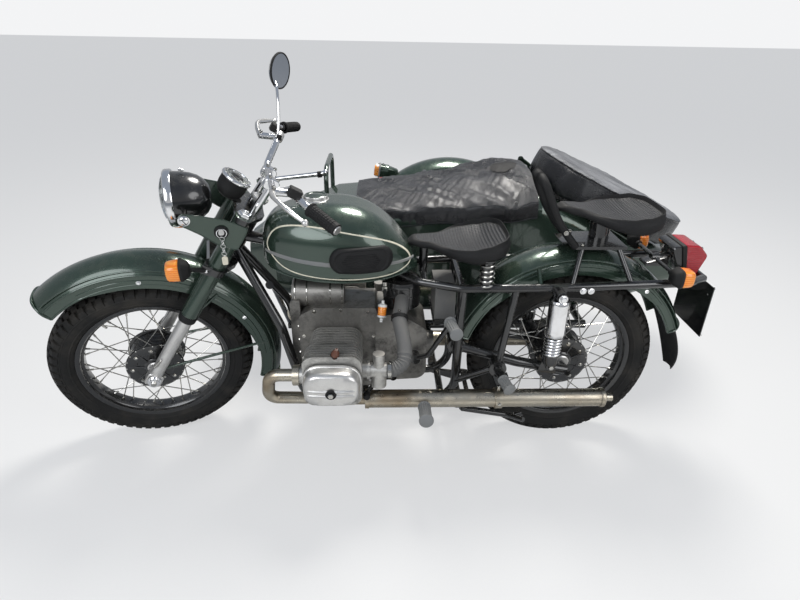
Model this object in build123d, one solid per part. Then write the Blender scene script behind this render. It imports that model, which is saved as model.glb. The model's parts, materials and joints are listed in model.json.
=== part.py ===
from build123d import *
from math import cos, radians, sin, sqrt
import os

# Sidecar motorcycle with a flat twin engine, in millimetres.
# While it is modelled, +X is forward, +Y is the rider's left, the motorcycle's middle plane is Y = 0,
# X = 0 lies midway between its axles and Z = 0 is the ground. The export moves the origin to the
# middle of the footprint.

# Wheels, all three alike
wheelbase = 1485
tyre_radius = 343
tyre_width = 102
shoulder_drop = 24
shoulder_half = 48
side_radius = 290
bead_radius = 243
rim_radius = 256
rim_width = 68
well_radius = 231
rim_wall = 4
spoke_count = 40
spoke_radius = 2.2
spoke_lead = 36
hub_radius = 98
hub_width = 96
hub_flange = 7
barrel_hub_radius = 84
axle_radius = 10
bearing_gap = 0.4
seat_gap = 0.3

# Steering head and fork
rake = 32.5
steer_rest = 17
fork_offset = 44
leg_spacing = 206
slider_radius = 22
cover_radius = 27
slider_low = -24
slider_high = 284
yoke_low = 486
yoke_high = 684
yoke_plate = 22
head_radius = 30
head_gap = 3

rear_axle_x = -wheelbase / 2
front_axle_x = wheelbase / 2

# Sidecar places
side_wheel_x = -435
side_wheel_y = -1140
body_middle_y = -690
body_half_width = 275
body_wall = 9

lean = -sin(radians(rake)) * sin(radians(steer_rest))
crown_radius = (shoulder_half**2 + shoulder_drop**2) / (2 * shoulder_drop)
front_axle_z = (tyre_radius - crown_radius) * sqrt(1 - lean**2) + crown_radius
steer_axis = Vector(-sin(radians(rake)), 0, cos(radians(rake)))
steer_ahead = Vector(
    cos(radians(rake)) * cos(radians(steer_rest)),
    sin(radians(steer_rest)),
    sin(radians(rake)) * cos(radians(steer_rest)),
)
steer_foot = Vector(
    front_axle_x - steer_ahead.X * fork_offset,
    0,
    front_axle_z - steer_ahead.Z * fork_offset,
)
steered = Plane(origin=steer_foot, x_dir=steer_ahead, z_dir=steer_axis).location



def head_point(height, ahead=0):
    """A point of the unsteered head, measured along the steering axis and square to it."""
    tilt = radians(rake)
    return Vector(
        steer_foot.X - sin(tilt) * height + cos(tilt) * ahead,
        0,
        steer_foot.Z + cos(tilt) * height + sin(tilt) * ahead,
    )


def rod(start, end, radius):
    start = Vector(*start)
    end = Vector(*end)
    way = end - start
    return extrude(Plane(origin=start, z_dir=way) * Circle(radius), amount=way.length)


def tube(points, radius, bend):
    path = FilletPolyline(*points, radius=bend)
    return sweep(Plane(origin=path @ 0, z_dir=path % 0) * Circle(radius), path=path)


def both(shape):
    return [shape, mirror(shape, about=Plane.XZ)]


def across(outline, low_y, high_y):
    """Extrude a side view, drawn in X and Z, from one Y to another."""
    return extrude(Plane.XZ.offset(-low_y) * outline, amount=-(high_y - low_y))


def side_view(points, bends):
    return make_face(FilletPolyline(*points, radius=bends, close=True))


def ring(points):
    """Turn a section of (radius, y) points about the Y axis."""
    return revolve(make_face(Polyline(*points, close=True)), axis=Axis.Y)


def loft_along_x(stations, inset=0, ruled=False):
    """Loft rounded sections; columns are x, middle y, half width, low z, high z, low bend, high bend."""
    sections = []
    for x, y, half, low, high, low_bend, high_bend in stations:
        corners = [
            (y - half + inset, low + inset),
            (y + half - inset, low + inset),
            (y + half - inset, high - inset),
            (y - half + inset, high - inset),
        ]
        bends = [max(low_bend - inset, 3)] * 2 + [max(high_bend - inset, 3)] * 2
        outline = FilletPolyline(*corners, radius=bends, close=True)
        sections.append(Plane(origin=(x, 0, 0), x_dir=(0, 1, 0), z_dir=(1, 0, 0)) * make_face(outline))
    return loft(sections, ruled=ruled)


def wheel_tyre():
    """Plain tyre whose tread band ends where the leaned front wheel meets the ground."""
    band_half = -crown_radius * lean
    band_radius = tyre_radius - crown_radius + sqrt(crown_radius**2 - band_half**2)
    side = [
        (band_radius, band_half), (tyre_radius - shoulder_drop, shoulder_half),
        (side_radius, tyre_width / 2), (rim_radius + seat_gap, rim_width / 2 - 1),
    ]
    return ring(side + [(radius, -y) for radius, y in reversed(side)])


def wheel_rim():
    """Rim, hub and laced spokes in one piece, about the Y axis."""
    edge = rim_width / 2
    rim = ring([
        (rim_radius, -edge), (rim_radius, -edge + rim_wall), (bead_radius - seat_gap, -edge + rim_wall),
        (bead_radius - 1, -20), (well_radius, -14), (well_radius, 14), (bead_radius - 1, 20),
        (bead_radius - seat_gap, edge - rim_wall), (rim_radius, edge - rim_wall), (rim_radius, edge),
        (bead_radius - rim_wall, edge), (bead_radius - rim_wall - 1, 18), (well_radius - rim_wall, 12),
        (well_radius - rim_wall, -12), (bead_radius - rim_wall - 1, -18), (bead_radius - rim_wall, -edge),
    ])
    half = hub_width / 2
    hub = ring([
        (axle_radius + bearing_gap, -half - 6), (34, -half - 6), (38, -half), (hub_radius, -half),
        (hub_radius, -half + hub_flange), (barrel_hub_radius, -half + hub_flange + 5),
        (barrel_hub_radius, half - hub_flange - 5), (hub_radius, half - hub_flange),
        (hub_radius, half), (38, half), (34, half + 6), (axle_radius + bearing_gap, half + 6),
    ])
    spokes = []
    pitch = 360 / spoke_count
    for number in range(spoke_count):
        side = 1 if number % 2 else -1
        lead = spoke_lead if number // 2 % 2 else -spoke_lead
        outer = radians(number * pitch)
        inner = radians(number * pitch + lead)
        start = Vector(
            (hub_radius - 5) * cos(inner), side * (half - hub_flange / 2), (hub_radius - 5) * sin(inner))
        end = Vector((well_radius - 1) * cos(outer), side * 5, (well_radius - 1) * sin(outer))
        way = end - start
        spokes.append(extrude(
            Plane(origin=start, z_dir=way) * RegularPolygon(spoke_radius, 6), amount=way.length))
    return rim.fuse(hub, *spokes)


def place(shape, x, y, z):
    return Pos(x, y, z) * shape


# Frame
rail_radius = 14
cradle_radius = 16
cradle_half = 95
cradle_z = 212
upper_half = 128
rear_post_x = -345
shock_x = -660
shock_top_z = 668

top_tube_front = head_point(596, -10)
spine_rear = Vector(-150, 0, 704)
spine_radius = 19
steerer_radius = 13
pivot_z = 429
pivot_radius = 21
shock_y = 158
shock_low_z = 402
link_front_x = 240
link_rear_x = -345
link_y = -132
down_tube_top = head_point(548, -10)


def frame(tank_solid):
    """Double cradle, spine, upper rails and rear loop, with the lugs that carry the other pieces."""
    head_ends = (yoke_low + yoke_plate + head_gap, yoke_high - head_gap)
    head = rod(head_point(head_ends[0]), head_point(head_ends[1]), head_radius)
    spine = rod(top_tube_front, spine_rear, spine_radius)
    cradle = tube(
        [(down_tube_top.X, 14, down_tube_top.Z), (262, cradle_half, 520), (192, cradle_half, cradle_z),
         (rear_post_x, cradle_half, cradle_z), (rear_post_x, upper_half - 6, 676)],
        cradle_radius, [120, 90, 90],
    )
    upper = tube(
        [(-124, 16, 689), (-206, 92, 686), (-345, upper_half, 678), (-663, upper_half, 682),
         (-1093, upper_half, 701), (-1170, 70, 690)],
        rail_radius, [60, 90, 400, 60],
    )
    loop = rod((-1170, -72, 690), (-1170, 72, 690), rail_radius)
    strut = tube([(-520, upper_half, 674), (-484, peg_y, 388), (rear_post_x, 106, 300)], 12, [40])
    peg_boss = rod((-480, peg_y - 14, 388), (-480, peg_y + 22, 388), 30)
    shock_lug = across(side_view(
        [(shock_x - 26, 694), (shock_x - 18, shock_top_z - 18), (shock_x + 18, shock_top_z - 18),
         (shock_x + 26, 694)], [4, 12, 12, 4]), upper_half - 6, shock_y - 13 - seat_gap)
    pivot = rod((rear_post_x, -100, pivot_z), (rear_post_x, 100, pivot_z), pivot_radius)
    stand_lug = across(side_view(
        [(stand_lug_front, cradle_z + 4), (stand_x - 16, stand_z + 14), (stand_x - 16, stand_z - 16),
         (stand_x + 16, stand_z - 16), (stand_lug_front, cradle_z - 10)], [3, 8, 8, 8, 3]), 88, 100)
    crosses = [rod((x, -cradle_half, engine_cross_z), (x, cradle_half, engine_cross_z), engine_cross_radius)
               for x in engine_feet_x]
    crosses += [
        rod((-300, -cradle_half, cradle_z), (-300, cradle_half, cradle_z), 13),
        rod((-345, -upper_half, 676), (-345, upper_half, 676), 12),
        rod((-222, -92, 685), (-222, 92, 685), 11),
    ]
    links = [rod((x, -cradle_half, z), (x, link_y, z), 18)
             for x, z in ((link_front_x - 56, cradle_z + 14), (link_rear_x + 60, cradle_z + 14))]
    links.append(rod(up_front_top, up_front_top + Vector(0, 40, 8), 15))
    links.append(rod((up_rear_x, -upper_half, 676), (up_rear_x, -upper_half - 26, 670), 15))
    tray_front = battery_x + battery_length / 2 + 6
    tray = Pos((tray_rear + tray_front) / 2, 0, battery_low - seat_gap - tray_thick / 2) * Box(
        tray_front - tray_rear, 224, tray_thick)
    sides = both(cradle) + both(upper) + both(strut) + both(peg_boss) + both(shock_lug) + both(stand_lug)
    front_seat, rear_seats = tank_seats(tank_solid)
    front_seat = (front_seat - tank_solid).solids().sort_by(SortBy.VOLUME)[-1]
    rear_seats = [seat.solids().sort_by(Axis.Z)[0] for seat in rear_seats]
    whole = head.fuse(spine, loop, pivot, tray, front_seat, *rear_seats, *sides, *crosses, *links)
    for y in (-1, 1):
        whole -= rod(
            (stand_x, y * 80, stand_z), (stand_x, y * 120, stand_z), stand_pivot_radius + bearing_gap)
    return whole - rod(head_point(yoke_low), head_point(yoke_high + 20), steerer_radius + bearing_gap)


# Battery, on a tray between the rear posts of the frame
battery_x = -296
battery_low = 537
battery_length = 70
battery_height = 118
tray_thick = 4
tray_rear = -338

# Centre stand, folded up behind its pivot, and the links to the sidecar
stand_x = -374
stand_z = 186
stand_length = 196
stand_half = 122
stand_pivot_radius = 9
stand_lug_front = -270
stand_tie_reach = 36
stand_tie_drop = 8
stand_tie_radius = 9
peg_y = 146
up_front_top = Vector(318, -84, 600)
up_rear_x = -480

# Engine
engine_feet_x = (140, -20)
engine_cross_z = 232
engine_cross_radius = 13
crank_low = 262
foot_sink = 30
cylinder_x = 75
cylinder_z = 430
crank_half = 78
barrel_end = 232
head_end = 318
cover_end = 372
port_y = 288
carb_y = 262


def engine():
    """Crankcase, gearbox and generator, on two feet over the frame's cross tubes."""
    crankcase = across(side_view(
        [(205, crank_low), (205, 548), (150, 580), (-62, 580), (-62, crank_low)], [40, 30, 20, 10, 30]),
        -crank_half, crank_half)
    front_cover = across(
        side_view([(234, 300), (234, 600), (200, 600), (200, 300)], [16, 16, 4, 4]), -62, 62)
    gearbox = across(side_view(
        [(-58, 290), (-58, 560), (-150, 560), (-238, 500), (-238, 302)], [8, 8, 40, 40, 40]), -92, 92)
    generator = rod((50, 0, 606), (222, 0, 606), 52)
    clutch_nose = rod((-230, 0, 392), (-268, 0, 392), 48)
    foot_low = engine_cross_z + engine_cross_radius + seat_gap
    foot_tall = crank_low + foot_sink - foot_low
    feet = [Pos(x, 0, foot_low + foot_tall / 2) * Box(44, 120, foot_tall) for x in engine_feet_x]
    return crankcase.fuse(front_cover, gearbox, generator, clutch_nose, *feet)


def cylinders():
    barrel = rod((cylinder_x, crank_half, cylinder_z), (cylinder_x, head_end, cylinder_z), 52)
    fins = []
    for number in range(9):
        y = crank_half + 16 + number * 16
        fins.append(across(side_view(
            [(cylinder_x - 88, cylinder_z - 84), (cylinder_x + 88, cylinder_z - 84),
             (cylinder_x + 88, cylinder_z + 84), (cylinder_x - 88, cylinder_z + 84)], [40] * 4), y, y + 4))
    for number in range(6):
        y = barrel_end + 4 + number * 14
        fins.append(across(side_view(
            [(cylinder_x - 92, cylinder_z - 78), (cylinder_x + 92, cylinder_z - 78),
             (cylinder_x + 92, cylinder_z + 104), (cylinder_x - 92, cylinder_z + 104)], [34] * 4), y, y + 5))
    exhaust_port = rod(
        (cylinder_x + 40, port_y, cylinder_z + 24), (cylinder_x + 104, port_y, cylinder_z + 24), 27)
    intake_port = rod(
        (cylinder_x - 40, carb_y, cylinder_z + 24), (cylinder_x - 108, carb_y, cylinder_z + 24), 25)
    return both(barrel.fuse(exhaust_port, intake_port, *fins))


def head_covers():
    low = cylinder_z - 62
    high = cylinder_z + 76
    outline = side_view([(cylinder_x - 84, low), (cylinder_x + 84, low), (cylinder_x + 84, high),
                         (cylinder_x - 84, high)], [46] * 4)
    cover = across(outline, head_end, cover_end)
    cover = chamfer(cover.faces().sort_by(Axis.Y)[-1].edges(), 12)
    ribs = [across(Pos(cylinder_x, z, 0) * RectangleRounded(124, 9, 4), cover_end - 1, cover_end + 4)
            for z in (cylinder_z - 22, cylinder_z + 36)]
    return both(cover.fuse(*ribs))


carb_x = -66


def carburettors():
    z = cylinder_z + 24
    start_x = cylinder_x - 108
    flange = rod((start_x, carb_y, z), (start_x - 9, carb_y, z), 30)
    body = rod((start_x - 9, carb_y, z), (start_x - 62, carb_y, z), 24)
    bowl = rod((carb_x - 4, carb_y, z - 58), (carb_x - 4, carb_y, z), 25)
    top = rod((carb_x - 4, carb_y, z), (carb_x - 4, carb_y, z + 62), 19)
    return both(flange.fuse(body, bowl, top))


def intake():
    """Air cleaner drum on the gearbox with an elbow to each carburettor."""
    z = cylinder_z + 24
    drum = rod((-150, 0, 562), (-150, 0, 668), 66)
    elbow = tube(
        [(cylinder_x - 170, carb_y, z), (-152, carb_y, z), (-152, 150, 600), (-152, 40, 606)], 25, [44, 50])
    return drum.fuse(*both(elbow))


pipe_radius = 20
silencer_radius = 31
silencer_y = 200
silencer_z = 292
silencer_front = -23
silencer_rear = -860


def exhaust():
    z = cylinder_z + 24
    port_x = cylinder_x + 104
    pipe = tube(
        [(port_x, port_y, z), (port_x + 96, port_y, z), (port_x + 112, 262, 348), (150, 232, 322),
         (60, silencer_y, silencer_z), (silencer_front - 10, silencer_y, silencer_z)],
        pipe_radius, [38, 38, 60, 120],
    )
    silencer = rod(
        (silencer_front, silencer_y, silencer_z), (silencer_rear, silencer_y, silencer_z), silencer_radius)
    silencer = chamfer(silencer.edges().filter_by(GeomType.CIRCLE), 10)
    nozzle = rod((silencer_rear, silencer_y, silencer_z), (silencer_rear - 24, silencer_y, silencer_z), 14)
    bore = rod(
        (silencer_rear - 30, silencer_y, silencer_z), (silencer_rear + 60, silencer_y, silencer_z), 11.5)
    nut = rod((port_x, port_y, z), (port_x + 20, port_y, z), 33)
    clamp = rod((-470, silencer_y, silencer_z), (-494, silencer_y, silencer_z), silencer_radius + 5)
    return pipe.fuse(silencer, nozzle, nut, clamp) - bore


# Tank and seats; the tank's stations give x, middle y, half width, low z, high z, low bend, high bend
tank_stations = [
    (304, 0, 50, 742, 856, 22, 46),
    (248, 0, 112, 716, 912, 30, 84),
    (130, 0, 152, 704, 936, 34, 110),
    (-20, 0, 154, 702, 922, 34, 112),
    (-120, 0, 118, 706, 852, 30, 80),
    (-196, 0, 52, 712, 756, 14, 20),
]
cap_x = 132
cap_z = 934
knee_x = -14
knee_z = 790


def tank():
    """Teardrop tank that straddles the spine."""
    room = spine_radius + 8
    slope = (top_tube_front.Z - spine_rear.Z) / (top_tube_front.X - spine_rear.X)
    front = Vector(420, 0, top_tube_front.Z + (420 - top_tube_front.X) * slope + room)
    rear = Vector(-230, 0, spine_rear.Z + (-230 - spine_rear.X) * slope + room)
    tunnel_side = [(front.X, 640), (front.X, front.Z), (rear.X, rear.Z), (rear.X, 640)]
    tunnel = across(side_view(tunnel_side, [5] * 4), -room, room)
    head_room = rod(head_point(yoke_low), head_point(yoke_high + 20), head_radius + 7)
    return loft_along_x(tank_stations) - tunnel - head_room


def tank_seats(tank_solid):
    """Rubber blocks on the frame that carry the tank, one pair by the head and one at the tail."""
    front_z = top_tube_front.Z - (top_tube_front.X - 236) * 0.21
    front = rod((236, -40, front_z), (236, 40, front_z), 12)
    blocks = [rod((-136, y, 690), (-136, y, 726), 11) for y in (-34, 34)]
    return front, [block - tank_solid for block in blocks]


def knee_pads(tank_solid):
    pad = across(Pos(knee_x, knee_z, 0) * SlotOverall(190, 84), 120, 172)
    pad = fillet(pad.faces().sort_by(Axis.Y)[-1].edges(), 12)
    return both(pad - tank_solid)


def tank_cap(tank_solid):
    return rod((cap_x, 0, cap_z - 12), (cap_x, 0, cap_z + 16), 38) - tank_solid


def saddle(half, bowl):
    """A sprung rubber saddle about its middle, with a hollowed seat, a thin nose and a raised rear rim."""
    nose = 160
    rear = -162
    wide_x = -44
    outline = make_face(FilletPolyline(
        (nose, -30), (nose, 30), (66, 60), (wide_x, half), (rear, half * 0.8),
        (rear, -half * 0.8), (wide_x, -half), (66, -60),
        radius=[26, 26, 120, 70, 70, 70, 70, 120], close=True))
    body = extrude(Plane.XY.offset(-60) * outline, amount=120)
    profile = side_view([(nose, -4), (nose, 12), (60, 6), (-40, 8), (-130, 26), (rear, 24), (rear, -22),
                         (-60, -36), (60, -26)], [6, 6, 60, 80, 24, 10, 16, 40, 60])
    body = body & across(profile, -200, 200)
    dish = Pos(-38, 0, bowl * 7 - 12) * Sphere(bowl * 7)
    return body - dish


def rider_saddle():
    return Pos(-334, 0, 796) * Rot(0, 1, 0) * saddle(142, 30)


def passenger_saddle():
    return Pos(-822, 0, 900) * Rot(0, -5, 0) * saddle(140, 30)


def saddle_mounts(frame_solid, saddle_solid):
    """Pivot post and rubber springs under the rider's saddle."""
    nose = rod((-222, 0, 685), (-222, 0, 800), 15)
    springs = [rod((-420, y, 676), (-420, y, 780), 20) for y in (-118, 118)]
    bridge = rod((-420, -118, 724), (-420, 118, 724), 9)
    rear = bridge.fuse(*springs)
    return [piece - frame_solid - saddle_solid for piece in (nose, rear)]


def passenger_frame(frame_solid, fender_solid, saddle_solid):
    """Bracket of the passenger's saddle with its spring block."""
    post = rod((-812, 0, 800), (-812, 0, 900), 34)
    deck = Pos(-800, 0, 800) * Box(170, 150, 10)
    legs = [rod((-740, y, 800), (-704, y * 2.0, 690), 9) for y in (-62, 62)]
    legs += [rod((-860, y, 800), (-900, y * 2.0, 696), 9) for y in (-62, 62)]
    return post.fuse(deck, *legs) - frame_solid - fender_solid - saddle_solid


def grab_handle(deck_solid):
    return tube([(-716, 66, 796), (-640, 66, 900), (-590, 60, 1000), (-590, -60, 1000), (-640, -66, 900),
                 (-716, -66, 796)], 11, [60, 40, 40, 60]) - deck_solid


def arch(inner, crown, half, start, finish, thick=4):
    """A mudguard about the Y axis; its angles run from +X towards +Z."""
    side = crown - (crown - inner) * 0.55
    outer = [
        Line((inner, -half), (side, -half)),
        ThreePointArc((side, -half), (crown, 0), (side, half)),
        Line((side, half), (inner, half)),
        Line((inner, half), (inner, half - thick)),
        Line((inner, half - thick), (side, half - thick)),
        ThreePointArc((side, half - thick), (crown - thick, 0), (side, -half + thick)),
        Line((side, -half + thick), (inner, -half + thick)),
        Line((inner, -half + thick), (inner, -half)),
    ]
    section = Rot(0, -start, 0) * make_face(outer)
    return revolve(section, axis=Axis.Y, revolution_arc=-(finish - start))


rear_crown = 440
rear_finish = 158


def over_rear_wheel(radius, angle, gap=0):
    """A point round the rear axle, angles from +X towards +Z, moved on by a gap along the arc."""
    a = radians(angle)
    return Vector(
        rear_axle_x + radius * cos(a) - gap * sin(a), 0, tyre_radius + radius * sin(a) + gap * cos(a))


def rear_fender(frame_solid):
    guard = place(arch(378, rear_crown, 84, 18, rear_finish), rear_axle_x, 0, tyre_radius)
    stays = []
    for x, z in ((-600, 726), (-1000, 660)):
        for side in (-1, 1):
            stays.append(rod((x, side * 82, z), (x, side * 124, 692), 7))
    return guard.fuse(*stays) - frame_solid


def mud_flap():
    """Rubber flap hung from the end of the rear fender."""
    top = [over_rear_wheel(radius, rear_finish, seat_gap) for radius in (rear_crown - 9, rear_crown - 2)]
    tip = Vector(-1186, 0, 286)
    outline = Polyline(
        (top[0].X, top[0].Z), (tip.X, tip.Z), (tip.X - 7, tip.Z), (top[1].X, top[1].Z), close=True)
    return across(make_face(outline), -80, 80)


lamp_angle = 126


def rear_lamps():
    housing = across(side_view([(-1152, 690), (-1100, 690), (-1050, 792), (-1120, 800), (-1162, 770)],
                               [10, 10, 12, 16, 12]), -58, 58)
    stalks = rod((-1024, -150, 738), (-1024, 150, 738), 8)
    lamps = [rod((-1008, y, 738), (-1056, y, 738), 33) for y in (-168, 168)]
    foot = rod(
        over_rear_wheel(rear_crown + seat_gap, lamp_angle), over_rear_wheel(rear_crown + 60, lamp_angle), 12)
    return housing.fuse(rod((-1100, 0, 738), (-1020, 0, 738), 16), stalks, foot, *lamps)


plate_x = -1202
plate_z = 572
plate_hole_spacing = 150
plate_hole_rise = 60
plate_hole_radius = 3.2


def plate_bracket(frame_solid):
    """Upright carrier of the number plate with its two bolt holes."""
    plate = Pos(plate_x, 0, plate_z) * Box(3, 200, 190)
    stay = Pos(plate_x + 14, 0, plate_z + 82) * Box(26, 40, 60)
    holes = [rod((plate_x - 20, y, plate_z + plate_hole_rise), (plate_x + 3, y, plate_z + plate_hole_rise),
                 plate_hole_radius) for y in (-plate_hole_spacing / 2, plate_hole_spacing / 2)]
    return plate.fuse(stay) - frame_solid - holes


def swing_arm():
    """Trailing fork on the frame's pivot tube; the right arm carries the shaft and the final drive."""
    arm = tube(
        [(rear_post_x - 20, 78, pivot_z - 4), (-560, 100, 376), (rear_axle_x, 104, tyre_radius)], 18, [260])
    lug = across(side_view(
        [(shock_x - 34, 352), (shock_x - 18, shock_low_z + 16), (shock_x + 18, shock_low_z + 16),
         (shock_x + 34, 362)], [4, 12, 12, 4]), 108, shock_y - 13 - seat_gap)
    sleeve = rod((rear_post_x, -86, pivot_z), (rear_post_x, 86, pivot_z), 32)
    drive = rod((rear_axle_x, -64, tyre_radius), (rear_axle_x, -122, tyre_radius), 92)
    axle = rod((rear_axle_x, -122, tyre_radius), (rear_axle_x, 130, tyre_radius), axle_radius)
    whole = sleeve.fuse(*both(arm), *both(lug), drive, axle)
    return whole - rod((rear_post_x, -120, pivot_z), (rear_post_x, 120, pivot_z), pivot_radius + bearing_gap)


def shocks():
    """Spring legs with chrome upper covers, one on each side."""
    legs = []
    for y in (-shock_y, shock_y):
        cover = rod((shock_x, y, 520), (shock_x, y, 650), 33)
        spring = rod((shock_x, y, 425), (shock_x, y, 520), 27)
        top_eye = rod((shock_x, y - 13, shock_top_z), (shock_x, y + 13, shock_top_z), 17)
        low_eye = rod((shock_x, y - 13, shock_low_z), (shock_x, y + 13, shock_low_z), 17)
        stem = rod((shock_x, y, shock_low_z), (shock_x, y, shock_top_z), 9)
        legs.append(cover.fuse(spring, top_eye, low_eye, stem))
    return legs


def footrests(frame_solid):
    """Rider's rests that pass below the silencers, and the passenger's on their bosses."""
    rests = []
    for side in (-1, 1):
        bar = tube([(-222, side * 100, 212), (-222, side * 244, 232), (-222, side * 262, 300),
                    (-222, side * 300, 312)], 10, [16, 10])
        pad = rod((-222, side * 262, 306), (-222, side * 348, 318), 18)
        rests.append(bar.fuse(pad) - frame_solid)
        peg = rod((-480, side * (peg_y + 22), 388), (-500, side * 262, 376), 15)
        rests.append(peg - frame_solid)
    return rests


def foot_controls(engine_solid, frame_solid):
    """Kick starter and gear lever on the left, brake pedal on the right."""
    kick = tube([(-196, 116, 402), (-240, 140, 430), (-300, 176, 568), (-300, 200, 588)], 9, [30, 14])
    kick_pad = rod((-300, 185, 588), (-312, 268, 588), 15)
    hub = rod((-196, 80, 402), (-196, 128, 402), 18)
    shaft = rod((-120, 80, 340), (-120, 146, 340), 12)
    lever = tube([(-120, 140, 340), (-70, 150, 344), (-34, 236, 348), (-30, 262, 348)], 8, [24, 16])
    brake = tube(
        [(-200, -cradle_half, cradle_z), (-196, -114, 258), (-120, -150, 340), (-34, -262, 350)], 8, [14, 30])
    return [kick.fuse(kick_pad, hub) - engine_solid, shaft.fuse(lever) - engine_solid,
            brake - engine_solid - frame_solid]


def battery():
    return Pos(battery_x, 0, battery_low + battery_height / 2) * Box(battery_length, 150, battery_height)


def centre_stand():
    """Folded up; its feet lie behind the pivot, outside the rear tyre."""
    pivot = rod((stand_x, -stand_half, stand_z), (stand_x, stand_half, stand_z), stand_pivot_radius)
    foot_x = stand_x - stand_length
    legs = []
    for y in (-stand_half, stand_half):
        leg_line = [(stand_x, y, stand_z), (foot_x, y, stand_z - 36), (foot_x - 30, y, stand_z - 24)]
        legs.append(tube(leg_line, 11, [16]))
    tie_x = stand_x - stand_tie_reach
    tie_z = stand_z - stand_tie_drop
    tie = rod((tie_x, -stand_half, tie_z), (tie_x, stand_half, tie_z), stand_tie_radius)
    pedal = rod((foot_x + 30, stand_half, stand_z - 30), (foot_x - 20, stand_half + 62, stand_z - 6), 9)
    return pivot.fuse(*legs, tie, pedal)


# Steered pieces, modelled about the steering axis: X ahead of it, Z along it, Z = 0 level with the axle
leg_y = leg_spacing / 2
fender_half = 73


def yokes():
    plates = []
    for low, high in ((yoke_low, yoke_low + yoke_plate), (yoke_high, yoke_high + 16)):
        plate = extrude(Plane.XY.offset(low) * side_view(
            [(-32, -34), (30, -leg_y - 32), (66, -leg_y - 30), (66, leg_y + 30), (30, leg_y + 32),
             (-32, 34)],
            [20, 14, 14, 14, 14, 20]), amount=high - low)
        plates.append(plate)
    steerer = rod((0, 0, yoke_low), (0, 0, yoke_high + 34), steerer_radius)
    nut = extrude(Plane.XY.offset(yoke_high + 16) * RegularPolygon(22, 6), amount=16)
    holes = [rod((fork_offset, y, yoke_low - 5), (fork_offset, y, yoke_high + 40), cover_radius + seat_gap)
             for y in (-leg_y, leg_y)]
    low_clamps = [rod((fork_offset, y, yoke_low), (fork_offset, y, yoke_low + yoke_plate), cover_radius + 9)
                  for y in (-leg_y, leg_y)]
    return plates[0].fuse(plates[1], steerer, nut, *low_clamps) - holes


def fork_legs():
    legs = []
    for y in (-leg_y, leg_y):
        slider = rod((fork_offset, y, slider_low), (fork_offset, y, slider_high), slider_radius)
        cover = rod((fork_offset, y, slider_high - 4), (fork_offset, y, yoke_high + 16), cover_radius)
        collar = rod(
            (fork_offset, y, slider_high - 18), (fork_offset, y, slider_high + 26), cover_radius + 3)
        cap = rod((fork_offset, y, yoke_high + 16), (fork_offset, y, yoke_high + 34), 19)
        lug = Pos(fork_offset, y, 0) * Box(52, 40, 52)
        bore = rod((fork_offset, y - 40, 0), (fork_offset, y + 40, 0), axle_radius + seat_gap)
        legs.append(slider.fuse(cover, collar, cap, lug) - bore)
    return legs


def front_axle():
    axle = rod((fork_offset, -leg_y - 34, 0), (fork_offset, leg_y + 34, 0), axle_radius)
    nuts = [rod((fork_offset, side * (leg_y + 22.3), 0), (fork_offset, side * (leg_y + 34), 0), 17)
            for side in (-1, 1)]
    return axle.fuse(*nuts)


def front_fender(leg_solids):
    """Deep guard between the fork legs, on two stays from each slider."""
    guard = Pos(fork_offset, 0, 0) * arch(372, 448, fender_half, 16, 163)
    stays = []
    for side in (-1, 1):
        stays.append(rod(
            (fork_offset - 8, side * (leg_y - 10), 262), (-12, side * (fender_half - 2), 388), 6))
        stays.append(rod(
            (fork_offset - 12, side * (leg_y - 12), 34), (-250, side * (fender_half - 2), 262), 5))
    whole = guard.fuse(*stays)
    for leg in leg_solids:
        whole -= leg
    return whole


lamp_x = 196
lamp_z = 640
lamp_radius = 84


def headlamp():
    """Shell, rim and lens in one piece, looking level ahead, with its two ears on the fork covers."""
    shell_section = make_face([
        Line((0, 0), (52, 0)),
        Line((52, 0), (52, lamp_radius + 3)),
        Line((52, lamp_radius + 3), (32, lamp_radius + 3)),
        Line((32, lamp_radius + 3), (32, lamp_radius - 3)),
        ThreePointArc((32, lamp_radius - 3), (-34, lamp_radius * 0.74), (-72, 0)),
        Line((-72, 0), (0, 0)),
    ])
    shell = revolve(shell_section, axis=Axis.X)
    shell = Pos(lamp_x, 0, lamp_z) * Rot(0, rake, 0) * shell
    ear = side_view([(fork_offset - 26, lamp_z - 42), (lamp_x + 12, lamp_z - 30),
                     (lamp_x + 12, lamp_z + 2), (fork_offset - 26, lamp_z + 36)], [8, 8, 8, 8])
    ears = [across(ear, y - 2, y + 2)
            for y in (-leg_y - cover_radius - 2.3, leg_y + cover_radius + 2.3)]
    bolts = [rod((lamp_x, y * 60, lamp_z - 12), (lamp_x, y * (leg_y + cover_radius + 10), lamp_z - 12), 8)
             for y in (-1, 1)]
    return shell.fuse(*ears, *bolts)


def speedometer(yoke_solid):
    cup = rod((96, 0, 706), (92, 0, 768), 44)
    stem = rod((50, 0, 694), (96, 0, 712), 12)
    return cup.fuse(stem) - yoke_solid


bar_rise = 812
bar_radius = 11
bar_corner = Vector(-22, 300, bar_rise + 80)
bar_end = Vector(-98, 400, bar_rise + 90)


def handlebar(yoke_solid):
    risers = [rod((8, y, yoke_high + 16), (2, y, bar_rise), 13) for y in (-44, 44)]
    half = tube([(2, 0, bar_rise), (2, 112, bar_rise), (-10, 190, bar_rise + 60), bar_corner, bar_end],
                bar_radius, [30, 40, 90])
    levers = []
    for y in (-1, 1):
        lever_line = [
            (40, y * 226, bar_rise + 46), (52, y * 300, bar_rise + 60), (-20, y * 400, bar_rise + 70)]
        levers.append(tube(lever_line, 5, [40]))
    perches = [rod((-14, y * 226, bar_rise + 68), (44, y * 226, bar_rise + 44), 11) for y in (-1, 1)]
    return half.fuse(mirror(half, about=Plane.XZ), *risers, *levers, *perches) - yoke_solid


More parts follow.
